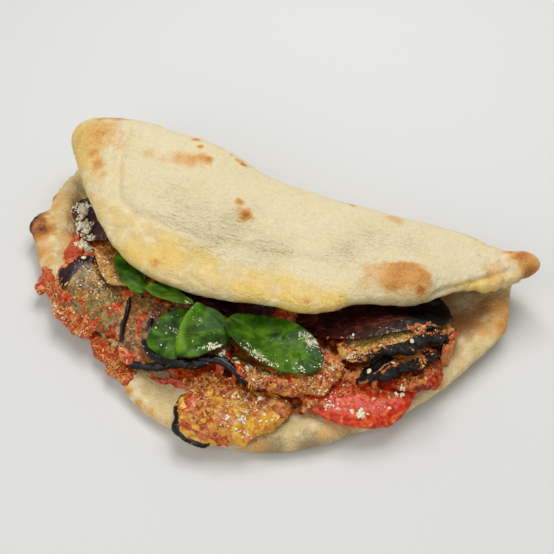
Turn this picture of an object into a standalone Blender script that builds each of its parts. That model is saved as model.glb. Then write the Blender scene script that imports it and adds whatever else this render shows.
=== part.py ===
"""Folded flatbread sandwich: grilled aubergine, tomato, cured ham and basil in one folded round of dough.

A hand-stretched round of pizza dough lies on the table, its filling is laid on the near half, and
the far half is folded forward over it. The fold runs along X at the back, the open mouth faces -Y,
and the underside rests flat on the table at Z = 0. Everything is in metres: the dough follows a
folding rule, and each slice, leaf and crumb takes its height from what it lies on.

Run with: blender --background --python part.py
"""

from math import atan2, cos, exp, hypot, pi, radians, sin, sqrt

import bmesh
import bpy
import numpy as np
from mathutils import Vector, noise
from mathutils.bvhtree import BVHTree

MM = 0.001

# The round of dough laid out flat. A runs along the fold, and B across it: from the front edge of
# the bottom flap (negative), over the fold, to the front edge of the lid (positive).
DOUGH_HALF_WIDTH = 113 * MM
DOUGH_FRONT_REACH = 113 * MM
DOUGH_LID_REACH = 138 * MM
DOUGH_CENTRE_X = -18 * MM
DOUGH_CENTRE_Y = 30 * MM
DOUGH_THICKNESS = 6.5 * MM
RIM_SWELL = 2.6 * MM
RIM_SWELL_FROM_EDGE = 9 * MM
RIM_SWELL_SPREAD = 6 * MM
RIM_ROUNDING = 4.6 * MM
DOUGH_COLUMNS = 24
DOUGH_ROWS = 42

# Where the hand-stretched outline bulges or draws in: angle and spread in degrees, and reach.
RIM_LOBES = (
    (148, 14, 12 * MM),
    (19, 9, 12 * MM),
    (236, 22, -17 * MM),
    (196, 5, 3 * MM),
    (285, 16, 2 * MM),
    (352, 10, 6 * MM),
)

# The fold, read along X: where it leaves the table, the height of the dough's middle layer over
# it, where the front edge of the lid comes down to, and how much lower that edge is than the fold.
# The left half is fat, and the right end is pinched.
FOLD_START = (
    (-130 * MM, 42 * MM),
    (-100 * MM, 44 * MM),
    (-56 * MM, 44 * MM),
    (-34 * MM, 37 * MM),
    (20 * MM, 35 * MM),
    (60 * MM, 37 * MM),
    (102 * MM, 41 * MM),
)
LID_HEIGHT = (
    (-130 * MM, 35 * MM),
    (-108 * MM, 39 * MM),
    (-56 * MM, 40 * MM),
    (-34 * MM, 35 * MM),
    (12 * MM, 31 * MM),
    (60 * MM, 28 * MM),
    (102 * MM, 19 * MM),
)
LID_FRONT = (
    (-128 * MM, 38 * MM),
    (-107 * MM, 14 * MM),
    (-80 * MM, -13 * MM),
    (-56 * MM, -27 * MM),
    (-24 * MM, -29 * MM),
    (8 * MM, -24 * MM),
    (24 * MM, -23 * MM),
    (36 * MM, -11 * MM),
    (58 * MM, -3 * MM),
    (77 * MM, 15 * MM),
    (92 * MM, 24 * MM),
    (106 * MM, 43 * MM),
)
LID_DROOP = (
    (-128 * MM, 2 * MM),
    (-107 * MM, 8 * MM),
    (-80 * MM, 12 * MM),
    (-50 * MM, 11 * MM),
    (-24 * MM, 6 * MM),
    (12 * MM, 3 * MM),
    (60 * MM, 1 * MM),
    (106 * MM, 0 * MM),
)
FOLD_DEPTH = 16 * MM
LID_SHIFT_X = 4 * MM
LID_CROWN = 2 * MM

# What the bottom flap does near its rim, from the front round to the two ends.
FLAP_SINK = 0.5 * MM
FRONT_LIFT = 1.5 * MM
END_LIFT = 8 * MM
LIFT_WIDTH = 26 * MM

# Blisters of the crust: place on the lid, spread and height.
LID_BLISTERS = (
    (57 * MM, 4 * MM, 11 * MM, 3.0 * MM),
    (34 * MM, -6 * MM, 9 * MM, 1.6 * MM),
    (-112 * MM, 40 * MM, 9 * MM, 2.4 * MM),
    (97 * MM, 48 * MM, 9 * MM, 4.0 * MM),
    (-48 * MM, 44 * MM, 9 * MM, 2.0 * MM),
)

# The filling rests on what is below it, this far apart, on a lattice of cells seen from above.
GAP = 0.45 * MM
CELL = 1.2 * MM
PILE_LOW = (-144 * MM, -102 * MM)
PILE_HIGH = (120 * MM, 66 * MM)
OPEN_SKY = 1.0
SHUT = 1.0


SAUCE_DEPTH = 3.6 * MM
POCKET_FILL = 27 * MM

# Colour and roughness of each kind of filling.
SAUCE = ((0.48, 0.08, 0.02), 0.35)
TOMATO = ((0.62, 0.05, 0.03), 0.25)
AUBERGINE = ((0.16, 0.08, 0.04), 0.4)
GOLDEN = ((0.55, 0.26, 0.05), 0.35)
HAM = ((0.16, 0.02, 0.02), 0.4)
LEAF = ((0.03, 0.16, 0.02), 0.35)


def smooth_step(value, low, high):
    """0 below low, 1 above high, and an easy curve between them."""
    t = min(max((value - low) / (high - low), 0.0), 1.0)
    return t * t * (3 - 2 * t)


def bell(distance, spread):
    """1 at no distance, falling away over the spread."""
    return exp(-((distance / spread) ** 2))


def along(place, stations):
    """A smooth value read between (place, value) stations, level at both ends."""
    if place <= stations[0][0]:
        return stations[0][1]
    if place >= stations[-1][0]:
        return stations[-1][1]
    i = max(k for k, (x, _) in enumerate(stations[:-1]) if x <= place)
    (x0, v0), (x1, v1) = stations[i], stations[i + 1]
    before, after = stations[max(i - 1, 0)], stations[min(i + 2, len(stations) - 1)]
    span = x1 - x0
    slope0 = (v1 - before[1]) / (x1 - before[0]) * span
    slope1 = (after[1] - v0) / (after[0] - x0) * span
    t = (place - x0) / span
    rise = v1 - v0
    bend = 3 * rise - 2 * slope0 - slope1
    return v0 + slope0 * t + bend * t * t + (slope0 + slope1 - 2 * rise) * t**3


def wobble(x, y, scale, seed):
    """Smooth noise, about -1 to 1, whose lumps are scale metres across."""
    return noise.noise(Vector((x / scale, y / scale, seed)))


def spaced(count, crowding=0.75):
    """Places from -1 to 1, closer together towards both ends."""
    steps = [-1 + 2 * i / count for i in range(count + 1)]
    return [crowding * sin(pi / 2 * s) + (1 - crowding) * s for s in steps]


def disc_place(u, v):
    """A place in the unit square moved to the unit disc, rim to rim."""
    return u * sqrt(1 - v * v / 2), v * sqrt(1 - u * u / 2)


def sheet_mesh(columns, rows, place):
    """Points and triangles of a closed disc-like sheet, both its faces divided alike.

    place(p, q, side) gives the point of the upper (1) or lower (-1) face at (p, q) in the unit disc,
    and of the rim (0), where the two faces meet.
    """
    points, index = [], {}
    for i, u in enumerate(columns):
        for j, v in enumerate(rows):
            p, q = disc_place(u, v)
            on_rim = i in (0, len(columns) - 1) or j in (0, len(rows) - 1)
            for side in (0,) if on_rim else (1, -1):
                index[i, j, side] = len(points)
                points.append(place(p, q, side))
    faces = []
    for side in (1, -1):
        for i in range(len(columns) - 1):
            for j in range(len(rows) - 1):
                ring = [(i, j), (i + 1, j), (i + 1, j + 1), (i, j + 1)]
                a, b, c, d = (index.get((*at, side), index.get((*at, 0))) for at in ring)
                outwards = (2 * i < len(columns) - 1) == (2 * j < len(rows) - 1)
                for corners in ((a, b, c), (a, c, d)) if outwards else ((a, b, d), (b, c, d)):
                    faces.append(corners if side == 1 else corners[::-1])
    return points, faces


def make_object(name, points, faces, colour, roughness):
    """One closed mesh object with its own plain material."""
    mesh = bpy.data.meshes.new(name)
    mesh.from_pydata([tuple(p) for p in points], [], faces)
    tidy = bmesh.new()
    tidy.from_mesh(mesh)
    bmesh.ops.recalc_face_normals(tidy, faces=tidy.faces)
    tidy.to_mesh(mesh)
    tidy.free()
    mesh.shade_smooth()
    material = bpy.data.materials.new(name)
    material.use_nodes = True
    shader = material.node_tree.nodes["Principled BSDF"]
    shader.inputs["Base Color"].default_value = (*colour, 1.0)
    shader.inputs["Roughness"].default_value = roughness
    mesh.materials.append(material)
    piece = bpy.data.objects.new(name, mesh)
    bpy.context.scene.collection.objects.link(piece)
    return piece


def dough_reach(angle):
    """How far the flat dough reaches from its centre at this angle, in radians from +A."""
    across = DOUGH_LID_REACH if sin(angle) > 0 else DOUGH_FRONT_REACH
    reach = 1 / hypot(cos(angle) / DOUGH_HALF_WIDTH, sin(angle) / across)
    for at, spread, amount in RIM_LOBES:
        turned = (angle - radians(at) + pi) % (2 * pi) - pi
        reach += amount * bell(turned, radians(spread))
    return reach + 1.6 * MM * wobble(cos(angle), sin(angle), 0.22, 3.1)


def flap_height(x, y):
    """Height of the dough's middle layer where the bottom flap lies on the table."""
    dx, dy = x - DOUGH_CENTRE_X, y - DOUGH_CENTRE_Y
    angle = atan2(min(dy, 0.0), dx)
    from_edge = dough_reach(angle) - hypot(dx, dy)
    lift = FRONT_LIFT + (END_LIFT - FRONT_LIFT) * abs(cos(angle)) ** 3
    near_rim = 1 - smooth_step(from_edge, 0.0, LIFT_WIDTH)
    return DOUGH_THICKNESS / 2 - FLAP_SINK + lift * near_rim**1.5


def lid_height(x, forward):
    """Height of the middle layer in the lid, forward being 0 at the fold and 1 at the front edge."""
    height = along(x, LID_HEIGHT)
    crown = LID_CROWN * sin(pi * min(forward, 1.0)) * smooth_step(forward, 0.0, 0.35)
    return height + crown - along(x, LID_DROOP) * smooth_step(forward, 0.0, 1.0)


def lid_edge(a, b):
    """Flat place B of the lid's rim, straight ahead of the flat place (a, b)."""
    low, high = b, 160 * MM
    for _ in range(12):
        middle = (low + high) / 2
        if hypot(a, middle) < dough_reach(atan2(middle, a)):
            low = middle
        else:
            high = middle
    return low


def folded(a, b):
    """(place, how far round the fold) of the dough's middle layer, from its flat place (a, b)."""
    x = DOUGH_CENTRE_X + a
    start = along(x, FOLD_START)
    low, high = flap_height(x, start), lid_height(x, 0.0)
    half_height = (high - low) / 2
    depth = min(FOLD_DEPTH, 1.1 * half_height)
    arc = pi * sqrt((half_height**2 + depth**2) / 2)
    past = b - (start - DOUGH_CENTRE_Y)
    turn = past / arc
    if turn <= 0:
        y = DOUGH_CENTRE_Y + b
        return Vector((x, y, flap_height(x, y))), 0.0
    if turn < 1:
        y = start + depth * sin(pi * turn)
        z = low + half_height * (1 - cos(pi * turn))
        return Vector((x + LID_SHIFT_X * smooth_step(turn, 0, 1), y, z)), turn
    length = max(lid_edge(a, b) - (b - past) - arc, 1e-6)
    forward = (past - arc) / length
    x += LID_SHIFT_X
    front = min(along(x, LID_FRONT), start)
    return Vector((x, start - forward * (start - front), lid_height(x, forward))), 1.0


def dough_thickness(from_edge):
    """Full thickness of the dough this far from its rim, with its swollen edge."""
    swell = RIM_SWELL * bell(from_edge - RIM_SWELL_FROM_EDGE, RIM_SWELL_SPREAD)
    inward = min(from_edge / RIM_ROUNDING, 1.0)
    return (DOUGH_THICKNESS + swell) * sqrt(max(1 - (1 - inward) ** 2, 0.0))


def dough_point(p, q, side):
    """A point of the folded dough's inner (1) or outer (-1) face, or of its rim (0)."""
    angle, share = atan2(q, p), hypot(p, q)
    reach = dough_reach(angle)
    a, b = share * reach * cos(angle), share * reach * sin(angle)
    middle, turn = folded(a, b)
    step, inside = 0.5 * MM, 0.98
    near = folded(a * inside, b * inside)[0]
    along_a = folded(a * inside + step, b * inside)[0] - near
    along_b = folded(a * inside, b * inside + step)[0] - near
    inward = along_a.cross(along_b).normalized()
    rim = folded(reach * cos(angle), reach * sin(angle))[0]
    half = dough_thickness((rim - middle).length) / 2
    resting = side == -1 and turn == 0.0
    lumps = 0.0 if resting else 0.9 * MM * wobble(a, b, 34 * MM, 7.7 + side)
    lumps *= smooth_step(1 - share, 0.0, 0.1)
    if side == -1 and turn > 0.5:
        for x, y, spread, height in LID_BLISTERS:
            lumps += height * bell(hypot(middle.x - x, middle.y - y), spread)
    point = middle + inward * side * (half + lumps * abs(side))
    point.z = max(point.z, 0.0)
    return point


def make_flatbread():
    """The folded round of dough, one solid from lid to bottom flap."""
    points, faces = sheet_mesh(spaced(DOUGH_COLUMNS), spaced(DOUGH_ROWS), dough_point)
    dough = make_object("flatbread", points, faces, (0.80, 0.68, 0.47), 0.75)
    ends = bmesh.new()
    ends.from_mesh(dough.data)
    for _ in range(2):
        loose = [v for v in ends.verts if abs(v.co.x + 12 * MM) > 92 * MM and v.co.z > 12 * MM]
        bmesh.ops.smooth_vert(ends, verts=loose, factor=0.45, use_axis_x=True, use_axis_y=True,
                               use_axis_z=True)
    ends.to_mesh(dough.data)
    ends.free()
    return dough


def eased(grid, rounds):
    """The grid with each cell moved to the mean of its neighbours, this many times."""
    for _ in range(rounds):
        wide = np.pad(grid, 1, mode="edge")
        grid = (wide[:-2, 1:-1] + wide[2:, 1:-1] + wide[1:-1, :-2] + wide[1:-1, 2:] + 2 * grid) / 6
    return grid


def spread(grid, pick):
    """The highest or lowest (pick) of each cell and the eight round it."""
    wide = np.pad(grid, 1, mode="edge")
    rows, columns = grid.shape
    shifts = [wide[i : i + rows, j : j + columns] for i in range(3) for j in range(3)]
    return pick.reduce(shifts)


class Pile:
    """What is in the mouth of the sandwich so far, as heights over a lattice of cells."""

    def __init__(self, bread):
        self.shape = tuple(int((high - low) / CELL) for low, high in zip(PILE_LOW, PILE_HIGH))
        self.floor = np.zeros(self.shape)
        self.ceiling = np.full(self.shape, OPEN_SKY)
        self.owner = np.full(self.shape, "", dtype=object)
        tree = BVHTree.FromPolygons(
            [v.co for v in bread.data.vertices], [f.vertices for f in bread.data.polygons]
        )
        for i in range(self.shape[0]):
            for j in range(self.shape[1]):
                x, y = self.centre(i, j)
                start = Vector((x, y, mouth_height(x, y)))
                below, below_normal, _, _ = tree.ray_cast(start, Vector((0, 0, -1)))
                above, above_normal, _, _ = tree.ray_cast(start, Vector((0, 0, 1)))
                if above and above_normal.z > 0 or below and below_normal.z < 0:
                    self.floor[i, j] = SHUT
                    continue
                if below:
                    self.floor[i, j] = below.z
                if above:
                    self.ceiling[i, j] = above.z

    def centre(self, i, j):
        """Plan place of a cell's centre."""
        return PILE_LOW[0] + (i + 0.5) * CELL, PILE_LOW[1] + (j + 0.5) * CELL

    def read(self, grid, x, y):
        """The grid's value at a plan place, blended between the four nearest cells."""
        u = min(max((x - PILE_LOW[0]) / CELL - 0.5, 0), self.shape[0] - 1.001)
        v = min(max((y - PILE_LOW[1]) / CELL - 0.5, 0), self.shape[1] - 1.001)
        i, j = int(u), int(v)
        s, t = u - i, v - j
        near = grid[i, j] * (1 - t) + grid[i, j + 1] * t
        far = grid[i + 1, j] * (1 - t) + grid[i + 1, j + 1] * t
        return near * (1 - s) + far * s

    def room(self):
        """Height that is free above each cell."""
        return spread(self.ceiling, np.minimum) - spread(self.floor, np.maximum) - 2 * GAP

    def rest(self, thickness, stiffness):
        """Heights at which the underside of a sheet comes to rest, stiffness in metres."""
        lowest = spread(spread(self.floor, np.maximum), np.maximum) + GAP
        open_cells = lowest < SHUT / 2
        height = np.where(open_cells, lowest, 0.0)
        for _ in range(round((stiffness / CELL) ** 2)):
            weight = eased(open_cells.astype(float), 1)
            height = np.where(
                open_cells, np.maximum(lowest, eased(height * open_cells, 1) / np.maximum(weight, 0.1)), 0.0
            )
        most = spread(self.ceiling, np.minimum) - GAP - thickness
        return np.where(open_cells, np.maximum(lowest, np.minimum(height, most)), lowest)

    def faces_over_cells(self, points, faces):
        """Each cell that a piece covers, with the heights of the piece's under and upper face there."""
        tree = BVHTree.FromPolygons(points, faces)
        corners = np.array([tuple(p) for p in points])
        low = [max(int((corners[:, k].min() - PILE_LOW[k]) / CELL) - 1, 0) for k in (0, 1)]
        high = [int((corners[:, k].max() - PILE_LOW[k]) / CELL) + 2 for k in (0, 1)]
        top = corners[:, 2].max() + 1 * MM
        for i in range(low[0], min(high[0], self.shape[0])):
            for j in range(low[1], min(high[1], self.shape[1])):
                upper = tree.ray_cast(Vector((*self.centre(i, j), top)), Vector((0, 0, -1)))[0]
                under = tree.ray_cast(Vector((*self.centre(i, j), -top)), Vector((0, 0, 1)))[0]
                if upper and under:
                    yield i, j, under.z, upper.z

    def clashes(self, points, faces):
        """How far a piece is too low over each cell, and too high under the lid."""
        too_low, too_high = np.zeros(self.shape), np.zeros(self.shape)
        for i, j, under, upper in self.faces_over_cells(points, faces):
            too_low[i, j] = max(self.floor[i, j] + 0.7 * GAP - under, 0.0)
            too_high[i, j] = max(upper - self.ceiling[i, j] + 0.7 * GAP, 0.0)
        return spread(too_low, np.maximum), spread(too_high, np.maximum)

    def add(self, name, points, faces):
        """Counts the piece's upper face as the floor from now on."""
        for i, j, _, upper in self.faces_over_cells(points, faces):
            if upper > self.floor[i, j]:
                self.floor[i, j] = upper
                self.owner[i, j] = name


def mouth_height(x, y):
    """A height between the bottom flap and the lid, or just over the flap in front of the lid."""
    bottom, start = flap_height(x, y), along(x, FOLD_START)
    if y >= start:
        return (flap_height(x, start) + lid_height(x, 0.0)) / 2
    forward = (start - y) / (start - min(along(x, LID_FRONT), start - 1 * MM))
    if forward > 1.12:
        return bottom + 14 * MM
    return (bottom + lid_height(x - LID_SHIFT_X, forward)) / 2


class Outline:
    """A rounded plan shape: centre, half length and half width in mm, heading in degrees."""

    def __init__(self, x, y, length, width, heading, seed, waves=0.06, point=0.0):
        self.x, self.y, self.heading = x * MM, y * MM, radians(heading)
        self.length, self.width, self.seed = length * MM, width * MM, seed
        self.waves, self.point = waves, point
        self.limits = None

    def reach(self, angle):
        """Distance from the centre to the rim at an angle from the heading."""
        r = 1 / hypot(cos(angle) / self.length, sin(angle) / self.width)
        r *= 1 + self.waves * 2 * wobble(1.3 * cos(angle), 1.3 * sin(angle), 1.0, self.seed)
        r *= 1 + self.waves * 0.8 * wobble(4 * cos(angle), 4 * sin(angle), 1.0, self.seed + 5)
        r *= 1 + self.point * (bell((angle + pi) % (2 * pi) - pi, 0.35) - 0.3 * bell(angle - pi, 0.5))
        if self.limits is None:
            return r
        turn = angle % (2 * pi) / (2 * pi) * len(self.limits)
        k, t = int(turn) % len(self.limits), turn % 1
        most = self.limits[k] * (1 - t) + self.limits[(k + 1) % len(self.limits)] * t
        return min(r, most)

    def place(self, share, angle):
        """Plan place at this share of the way to the rim."""
        r, turn = share * self.reach(angle), angle + self.heading
        return self.x + r * cos(turn), self.y + r * sin(turn)

    def fit(self, pile, least, allowed=None):
        """Draws the rim in where there is less than this height free, or where it isn't allowed."""
        room, limits = pile.room(), []
        for k in range(72):
            angle = k * 2 * pi / 72
            full, r = self.reach(angle), 0.0
            while r < full:
                turn = angle + self.heading
                x, y = self.x + r * cos(turn), self.y + r * sin(turn)
                if pile.read(room, x, y) < least or allowed and not allowed(x, y):
                    break
                r += 0.7 * MM
            limits.append(max(r - 1.4 * MM, 3 * MM) if r < full else full)
        low = [min(limits[(k + d) % 72] for d in (-2, -1, 0, 1, 2)) for k in range(72)]
        self.limits = [sum(low[(k + d) % 72] for d in (-2, -1, 0, 1, 2)) / 5 for k in range(72)]


def add_sheet(pile, name, outline, thickness, look, parts, stiffness=9 * MM, shape=None, allowed=None):
    """Lays one slice, leaf or layer on the pile, as a closed sheet with a rounded rim.

    thickness(x, y) or a plain value; shape(share, angle) is how far the sheet lifts off what it lies
    on; parts is how many parts it is divided into, each way.
    """
    thick = thickness if callable(thickness) else lambda x, y: thickness
    usual = thick(outline.x, outline.y)
    outline.fit(pile, min(2.2 * MM, usual), allowed)
    height = pile.rest(usual, stiffness)
    ceiling = spread(pile.ceiling, np.minimum)

    def place(p, q, side):
        share, angle = hypot(p, q), atan2(q, p)
        x, y = outline.place(share, angle)
        low = pile.read(height, x, y)
        lift = shape(share, angle) if shape else 0.0
        full = thick(x, y)
        room = max(pile.read(ceiling, x, y) - GAP - low, 0.4 * MM)
        full = max(min(full, room), 0.4 * MM)
        low += min(lift, max(room - full, 0.0))
        inward = min((1 - share) * outline.reach(angle) / (0.55 * full), 1.0)
        rounded = full * sqrt(max(1 - (1 - inward) ** 2, 0.0))
        lumps = 0.12 * full * wobble(x, y, 8 * MM, outline.seed) * (side == 1) if full > 2 * MM else 0.0
        return Vector((x, y, low + full / 2 + side * rounded / 2 - abs(lumps)))

    for _ in range(10):
        points, faces = sheet_mesh(spaced(parts[0], 0.6), spaced(parts[1], 0.6), place)
        too_low, too_high = pile.clashes(points, faces)
        if max(too_low.max(), too_high.max()) < 0.05 * MM:
            break
        height = height + 1.1 * too_low
        ceiling = ceiling - 1.1 * too_high
    pile.add(name, points, faces)
    return make_object(name, points, faces, *look)


def from_dough_rim(x, y):
    """Distance in from the rim of the bottom flap."""
    dx, dy = x - DOUGH_CENTRE_X, y - DOUGH_CENTRE_Y
    return dough_reach(atan2(min(dy, 0.0), dx)) - hypot(dx, dy)


def sauce_allowed(x, y):
    """The sauce stops short of the crust, but runs over it at the left front."""
    spill = smooth_step(-x, 50 * MM, 66 * MM) * smooth_step(-y, 2 * MM, 16 * MM)
    return from_dough_rim(x, y) > 15 * MM * (1 - spill) - 0.5 * MM * spill


def sauce_depth(x, y):
    """A spread layer in the mouth, rising to fill the pocket at the fold."""
    lumps = 1 + 0.3 * wobble(x, y, 14 * MM, 2.2)
    ahead = 1 - 0.65 * smooth_step(x, 5 * MM, 30 * MM)
    behind = y - along(x, LID_FRONT)
    return SAUCE_DEPTH * lumps * ahead + POCKET_FILL * smooth_step(behind, 10 * MM, 40 * MM)


def curl(toward, width, height, power=2.0):
    """Lifts the rim on one side: toward and width in degrees round from the heading."""

    def lift(share, angle):
        turned = (angle - radians(toward) + pi) % (2 * pi) - pi
        return height * share**power * bell(turned, radians(width))

    return lift


def cupped(height, arch=0.0, wave=0.0):
    """A leaf's form: rims lifted across, arched along its rib, and waved."""

    def lift(share, angle):
        across, along_rib = share * sin(angle), share * cos(angle)
        return height * across**2 + arch * (1 - along_rib**2) + wave * (1 + sin(5 * angle)) * share**2

    return lift


# The layers from the bottom up: centre x and y, half length and half width in mm, heading in
# degrees and seed; then thickness, look, parts, stiffness and the lift of its rim.
LAYERS = (
    ("tomato_slice_1", (43, -35, 29, 27, 0, 1.3, 0.02), 4.6 * MM, TOMATO, (10, 8), 14 * MM, None),
    ("tomato_slice_2", (66, -28, 15, 12, 45, 2.9, 0.02), 3.4 * MM, TOMATO, (8, 7), 12 * MM, None),
    ("aubergine_front", (2, -71, 27, 15, 20, 3.7), 5 * MM, GOLDEN, (10, 7), 9 * MM,
     curl(180, 40, 2 * MM)),
    ("aubergine_right_low", (59, -24, 27, 13, 52, 4.1, 0.03), 3.6 * MM, AUBERGINE, (10, 7), 9 * MM,
     curl(-90, 50, 1.5 * MM)),
    ("aubergine_middle", (17, -46, 31, 15, 14, 5.3), 4.2 * MM, GOLDEN, (10, 7), 8 * MM,
     curl(180, 50, 3 * MM)),
    ("aubergine_left_low", (-76, -32, 25, 19, -35, 6.1), 4.5 * MM, AUBERGINE, (10, 8), 9 * MM,
     curl(200, 50, 1.5 * MM)),
    ("aubergine_centre_low", (-38, -43, 25, 21, 10, 7.7), 4.5 * MM, AUBERGINE, (10, 8), 9 * MM,
     curl(190, 50, 2 * MM)),
    ("aubergine_right_top", (56, -16, 37, 14.5, 43, 8.3, 0.03), 3.6 * MM, AUBERGINE, (10, 7), 9 * MM,
     curl(-90, 50, 1.5 * MM)),
    ("aubergine_centre_top", (-27, -44, 23, 19, 10, 9.1), 4.5 * MM, AUBERGINE, (10, 8), 9 * MM,
     curl(180, 60, 3 * MM)),
    ("aubergine_left_top", (-72, -13, 26, 15, -45, 10.9), 4 * MM, GOLDEN, (9, 7), 9 * MM, None),
    ("ham_right", (43, -5, 41, 21, 28, 11.3, 0.12), 1.5 * MM, HAM, (10, 8), 7 * MM, None),
    ("ham_centre", (-28, -12, 32, 20, -4, 12.1, 0.12), 1.5 * MM, HAM, (10, 7), 7 * MM, None),
    ("ham_left", (-94, 11, 28, 17, -38, 13.7, 0.12), 1.5 * MM, HAM, (9, 7), 7 * MM, None),
    ("basil_back", (-59, -24, 26, 10, 141, 14.3, 0.03, 0.14), 0.8 * MM, LEAF, (10, 5), 12 * MM,
     cupped(2 * MM)),
    ("basil_left", (-24, -47, 20, 14, 212, 15.1, 0.03, 0.14), 0.8 * MM, LEAF, (9, 6), 12 * MM,
     cupped(2.5 * MM, 1.5 * MM)),
    ("basil_curled", (-41, -29, 17, 8.5, -16, 16.7, 0.03, 0.14), 0.8 * MM, LEAF, (8, 5), 9 * MM,
     cupped(4 * MM)),
    ("basil_front", (8, -38, 26, 15, -12, 17.9, 0.03, 0.14), 0.8 * MM, LEAF, (11, 7), 14 * MM,
     cupped(2.5 * MM, 2 * MM)),
)

# The larger grains of grated cheese: how many on each piece, and three heaps at the left end.
CRUMBS = (
    ("aubergine_right_top", 6),
    ("aubergine_right_low", 3),
    ("aubergine_middle", 7),
    ("aubergine_front", 5),
    ("aubergine_left_low", 5),
    ("aubergine_centre_top", 2),
    ("tomato_slice_1", 4),
    ("basil_front", 3),
)
CRUMB_RADIUS = (1.0 * MM, 1.7 * MM)
CRUMB_CLEARANCE = 3.2 * MM
HEAPS = ((-106 * MM, 8 * MM), (-101 * MM, -1 * MM), (-96 * MM, -10 * MM))
HEAP_RADIUS = 2.6 * MM


def crumb(place, radius, seed):
    """One rough grain."""
    mesh = bpy.data.meshes.new("crumb")
    grain = bmesh.new()
    bmesh.ops.create_icosphere(grain, subdivisions=1, radius=radius)
    for vertex in grain.verts:
        vertex.co *= 1 + 0.35 * noise.noise(vertex.co * (1.1 / radius) + Vector((seed, 0, 0)))
        vertex.co += place
    grain.to_mesh(mesh)
    grain.free()
    return bpy.data.objects.new("crumb", mesh)


def fuse(piece, grains):
    """Joins grains to the piece that they lie on, as one solid."""
    together = bpy.data.collections.new("grains")
    bpy.context.scene.collection.children.link(together)
    for grain in grains:
        together.objects.link(grain)
    union = piece.modifiers.new("grains", "BOOLEAN")
    union.operation = "UNION"
    union.operand_type = "COLLECTION"
    union.collection = together
    union.solver = "EXACT"
    bpy.context.view_layer.objects.active = piece
    bpy.ops.object.modifier_apply(modifier=union.name)
    for grain in grains:
        bpy.data.objects.remove(grain)
    bpy.data.collections.remove(together)


def on_top(pile, name, x, y, radius, height):
    """Whether this piece is the uppermost thing round a plan place, with this much height free."""
    for turn in range(9):
        angle = turn * pi / 4
        at_x, at_y = (x + radius * cos(angle), y + radius * sin(angle)) if turn < 8 else (x, y)
        i, j = int((at_x - PILE_LOW[0]) / CELL), int((at_y - PILE_LOW[1]) / CELL)
        if pile.owner[i, j] != name or pile.ceiling[i, j] < pile.floor[i, j] + height:
            return False
    return True


def add_crumbs(pile, pieces):
    """Fuses the larger cheese grains to what they lie on, clear of each other and of other pieces."""
    spots = np.random.default_rng(7)
    for name, count in CRUMBS:
        cells = np.argwhere(pile.owner == name)
        taken = []
        for i, j in spots.permutation(cells):
            x, y = pile.centre(i, j)
            radius = spots.uniform(*CRUMB_RADIUS)
            apart = all(hypot(x - c.x, y - c.y) > 2.6 * CRUMB_RADIUS[1] for c, _ in taken)
            if len(taken) < count and apart and on_top(pile, name, x, y, CRUMB_CLEARANCE, 20 * MM):
                taken.append((Vector((x, y, pile.floor[i, j] + 0.4 * radius)), radius))
        fuse(pieces[name], [crumb(c, r, k * 3.1) for k, (c, r) in enumerate(taken)])
    for k, wanted in enumerate(HEAPS):
        cells = [pile.centre(*cell) for cell in np.argwhere(pile.owner != "")]
        for x, y in sorted(cells, key=lambda at: hypot(at[0] - wanted[0], at[1] - wanted[1])):
            i, j = int((x - PILE_LOW[0]) / CELL), int((y - PILE_LOW[1]) / CELL)
            if on_top(pile, pile.owner[i, j], x, y, HEAP_RADIUS + 1 * MM, 2.2 * HEAP_RADIUS):
                top = Vector((x, y, pile.floor[i, j] + 0.8 * HEAP_RADIUS))
                fuse(pieces[pile.owner[i, j]], [crumb(top, HEAP_RADIUS, 40.0 + k)])
                break


for old in list(bpy.data.objects):
    bpy.data.objects.remove(old)
flatbread = make_flatbread()
pile = Pile(flatbread)
sauce_outline = Outline(-18, -4, 130, 95, 0, 0.5)
pieces = {"sauce_bed": add_sheet(pile, "sauce_bed", sauce_outline, sauce_depth, SAUCE, (18, 14),
                                 3 * MM, None, sauce_allowed)}
for name, place, thickness, look, parts, stiffness, shape in LAYERS:
    outline = Outline(*place)
    pieces[name] = add_sheet(pile, name, outline, thickness, look, parts, stiffness, shape)
add_crumbs(pile, pieces)
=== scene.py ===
import math

import bpy
import numpy as np
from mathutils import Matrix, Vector
from mathutils.bvhtree import BVHTree
from mathutils.kdtree import KDTree


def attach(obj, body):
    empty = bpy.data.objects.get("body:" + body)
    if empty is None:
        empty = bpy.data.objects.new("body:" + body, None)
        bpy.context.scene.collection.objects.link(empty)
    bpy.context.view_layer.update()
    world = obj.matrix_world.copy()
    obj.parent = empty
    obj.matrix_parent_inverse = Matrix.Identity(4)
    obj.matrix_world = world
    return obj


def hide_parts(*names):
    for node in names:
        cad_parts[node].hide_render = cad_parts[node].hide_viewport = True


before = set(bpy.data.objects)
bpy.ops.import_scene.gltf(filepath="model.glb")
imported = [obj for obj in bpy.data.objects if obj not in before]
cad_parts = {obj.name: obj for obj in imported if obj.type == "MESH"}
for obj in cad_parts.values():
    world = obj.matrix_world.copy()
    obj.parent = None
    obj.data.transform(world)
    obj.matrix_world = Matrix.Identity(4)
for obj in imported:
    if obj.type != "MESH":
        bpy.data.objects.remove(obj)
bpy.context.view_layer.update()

MM = 0.001

# Folded dough
# One round of pizza dough, floured, stretched by hand, baked on a stone and folded once over the
# filling. Flour stays dry and white on the lid, and the rim browns where it stood up to the heat.


def linear(colour):
    """The linear colour that a renderer wants for an sRGB hex value."""
    parts = [int(colour[i : i + 2], 16) / 255 for i in (1, 3, 5)]
    return [p / 12.92 if p <= 0.04045 else ((p + 0.055) / 1.055) ** 2.4 for p in parts] + [1]


def fill(node, sockets):
    """Fills a node's sockets with values, or with links where the value is another's output."""
    for socket, value in sockets.items():
        if isinstance(value, bpy.types.NodeSocket):
            node.id_data.links.new(value, node.inputs[socket])
        else:
            node.inputs[socket].default_value = value


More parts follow.
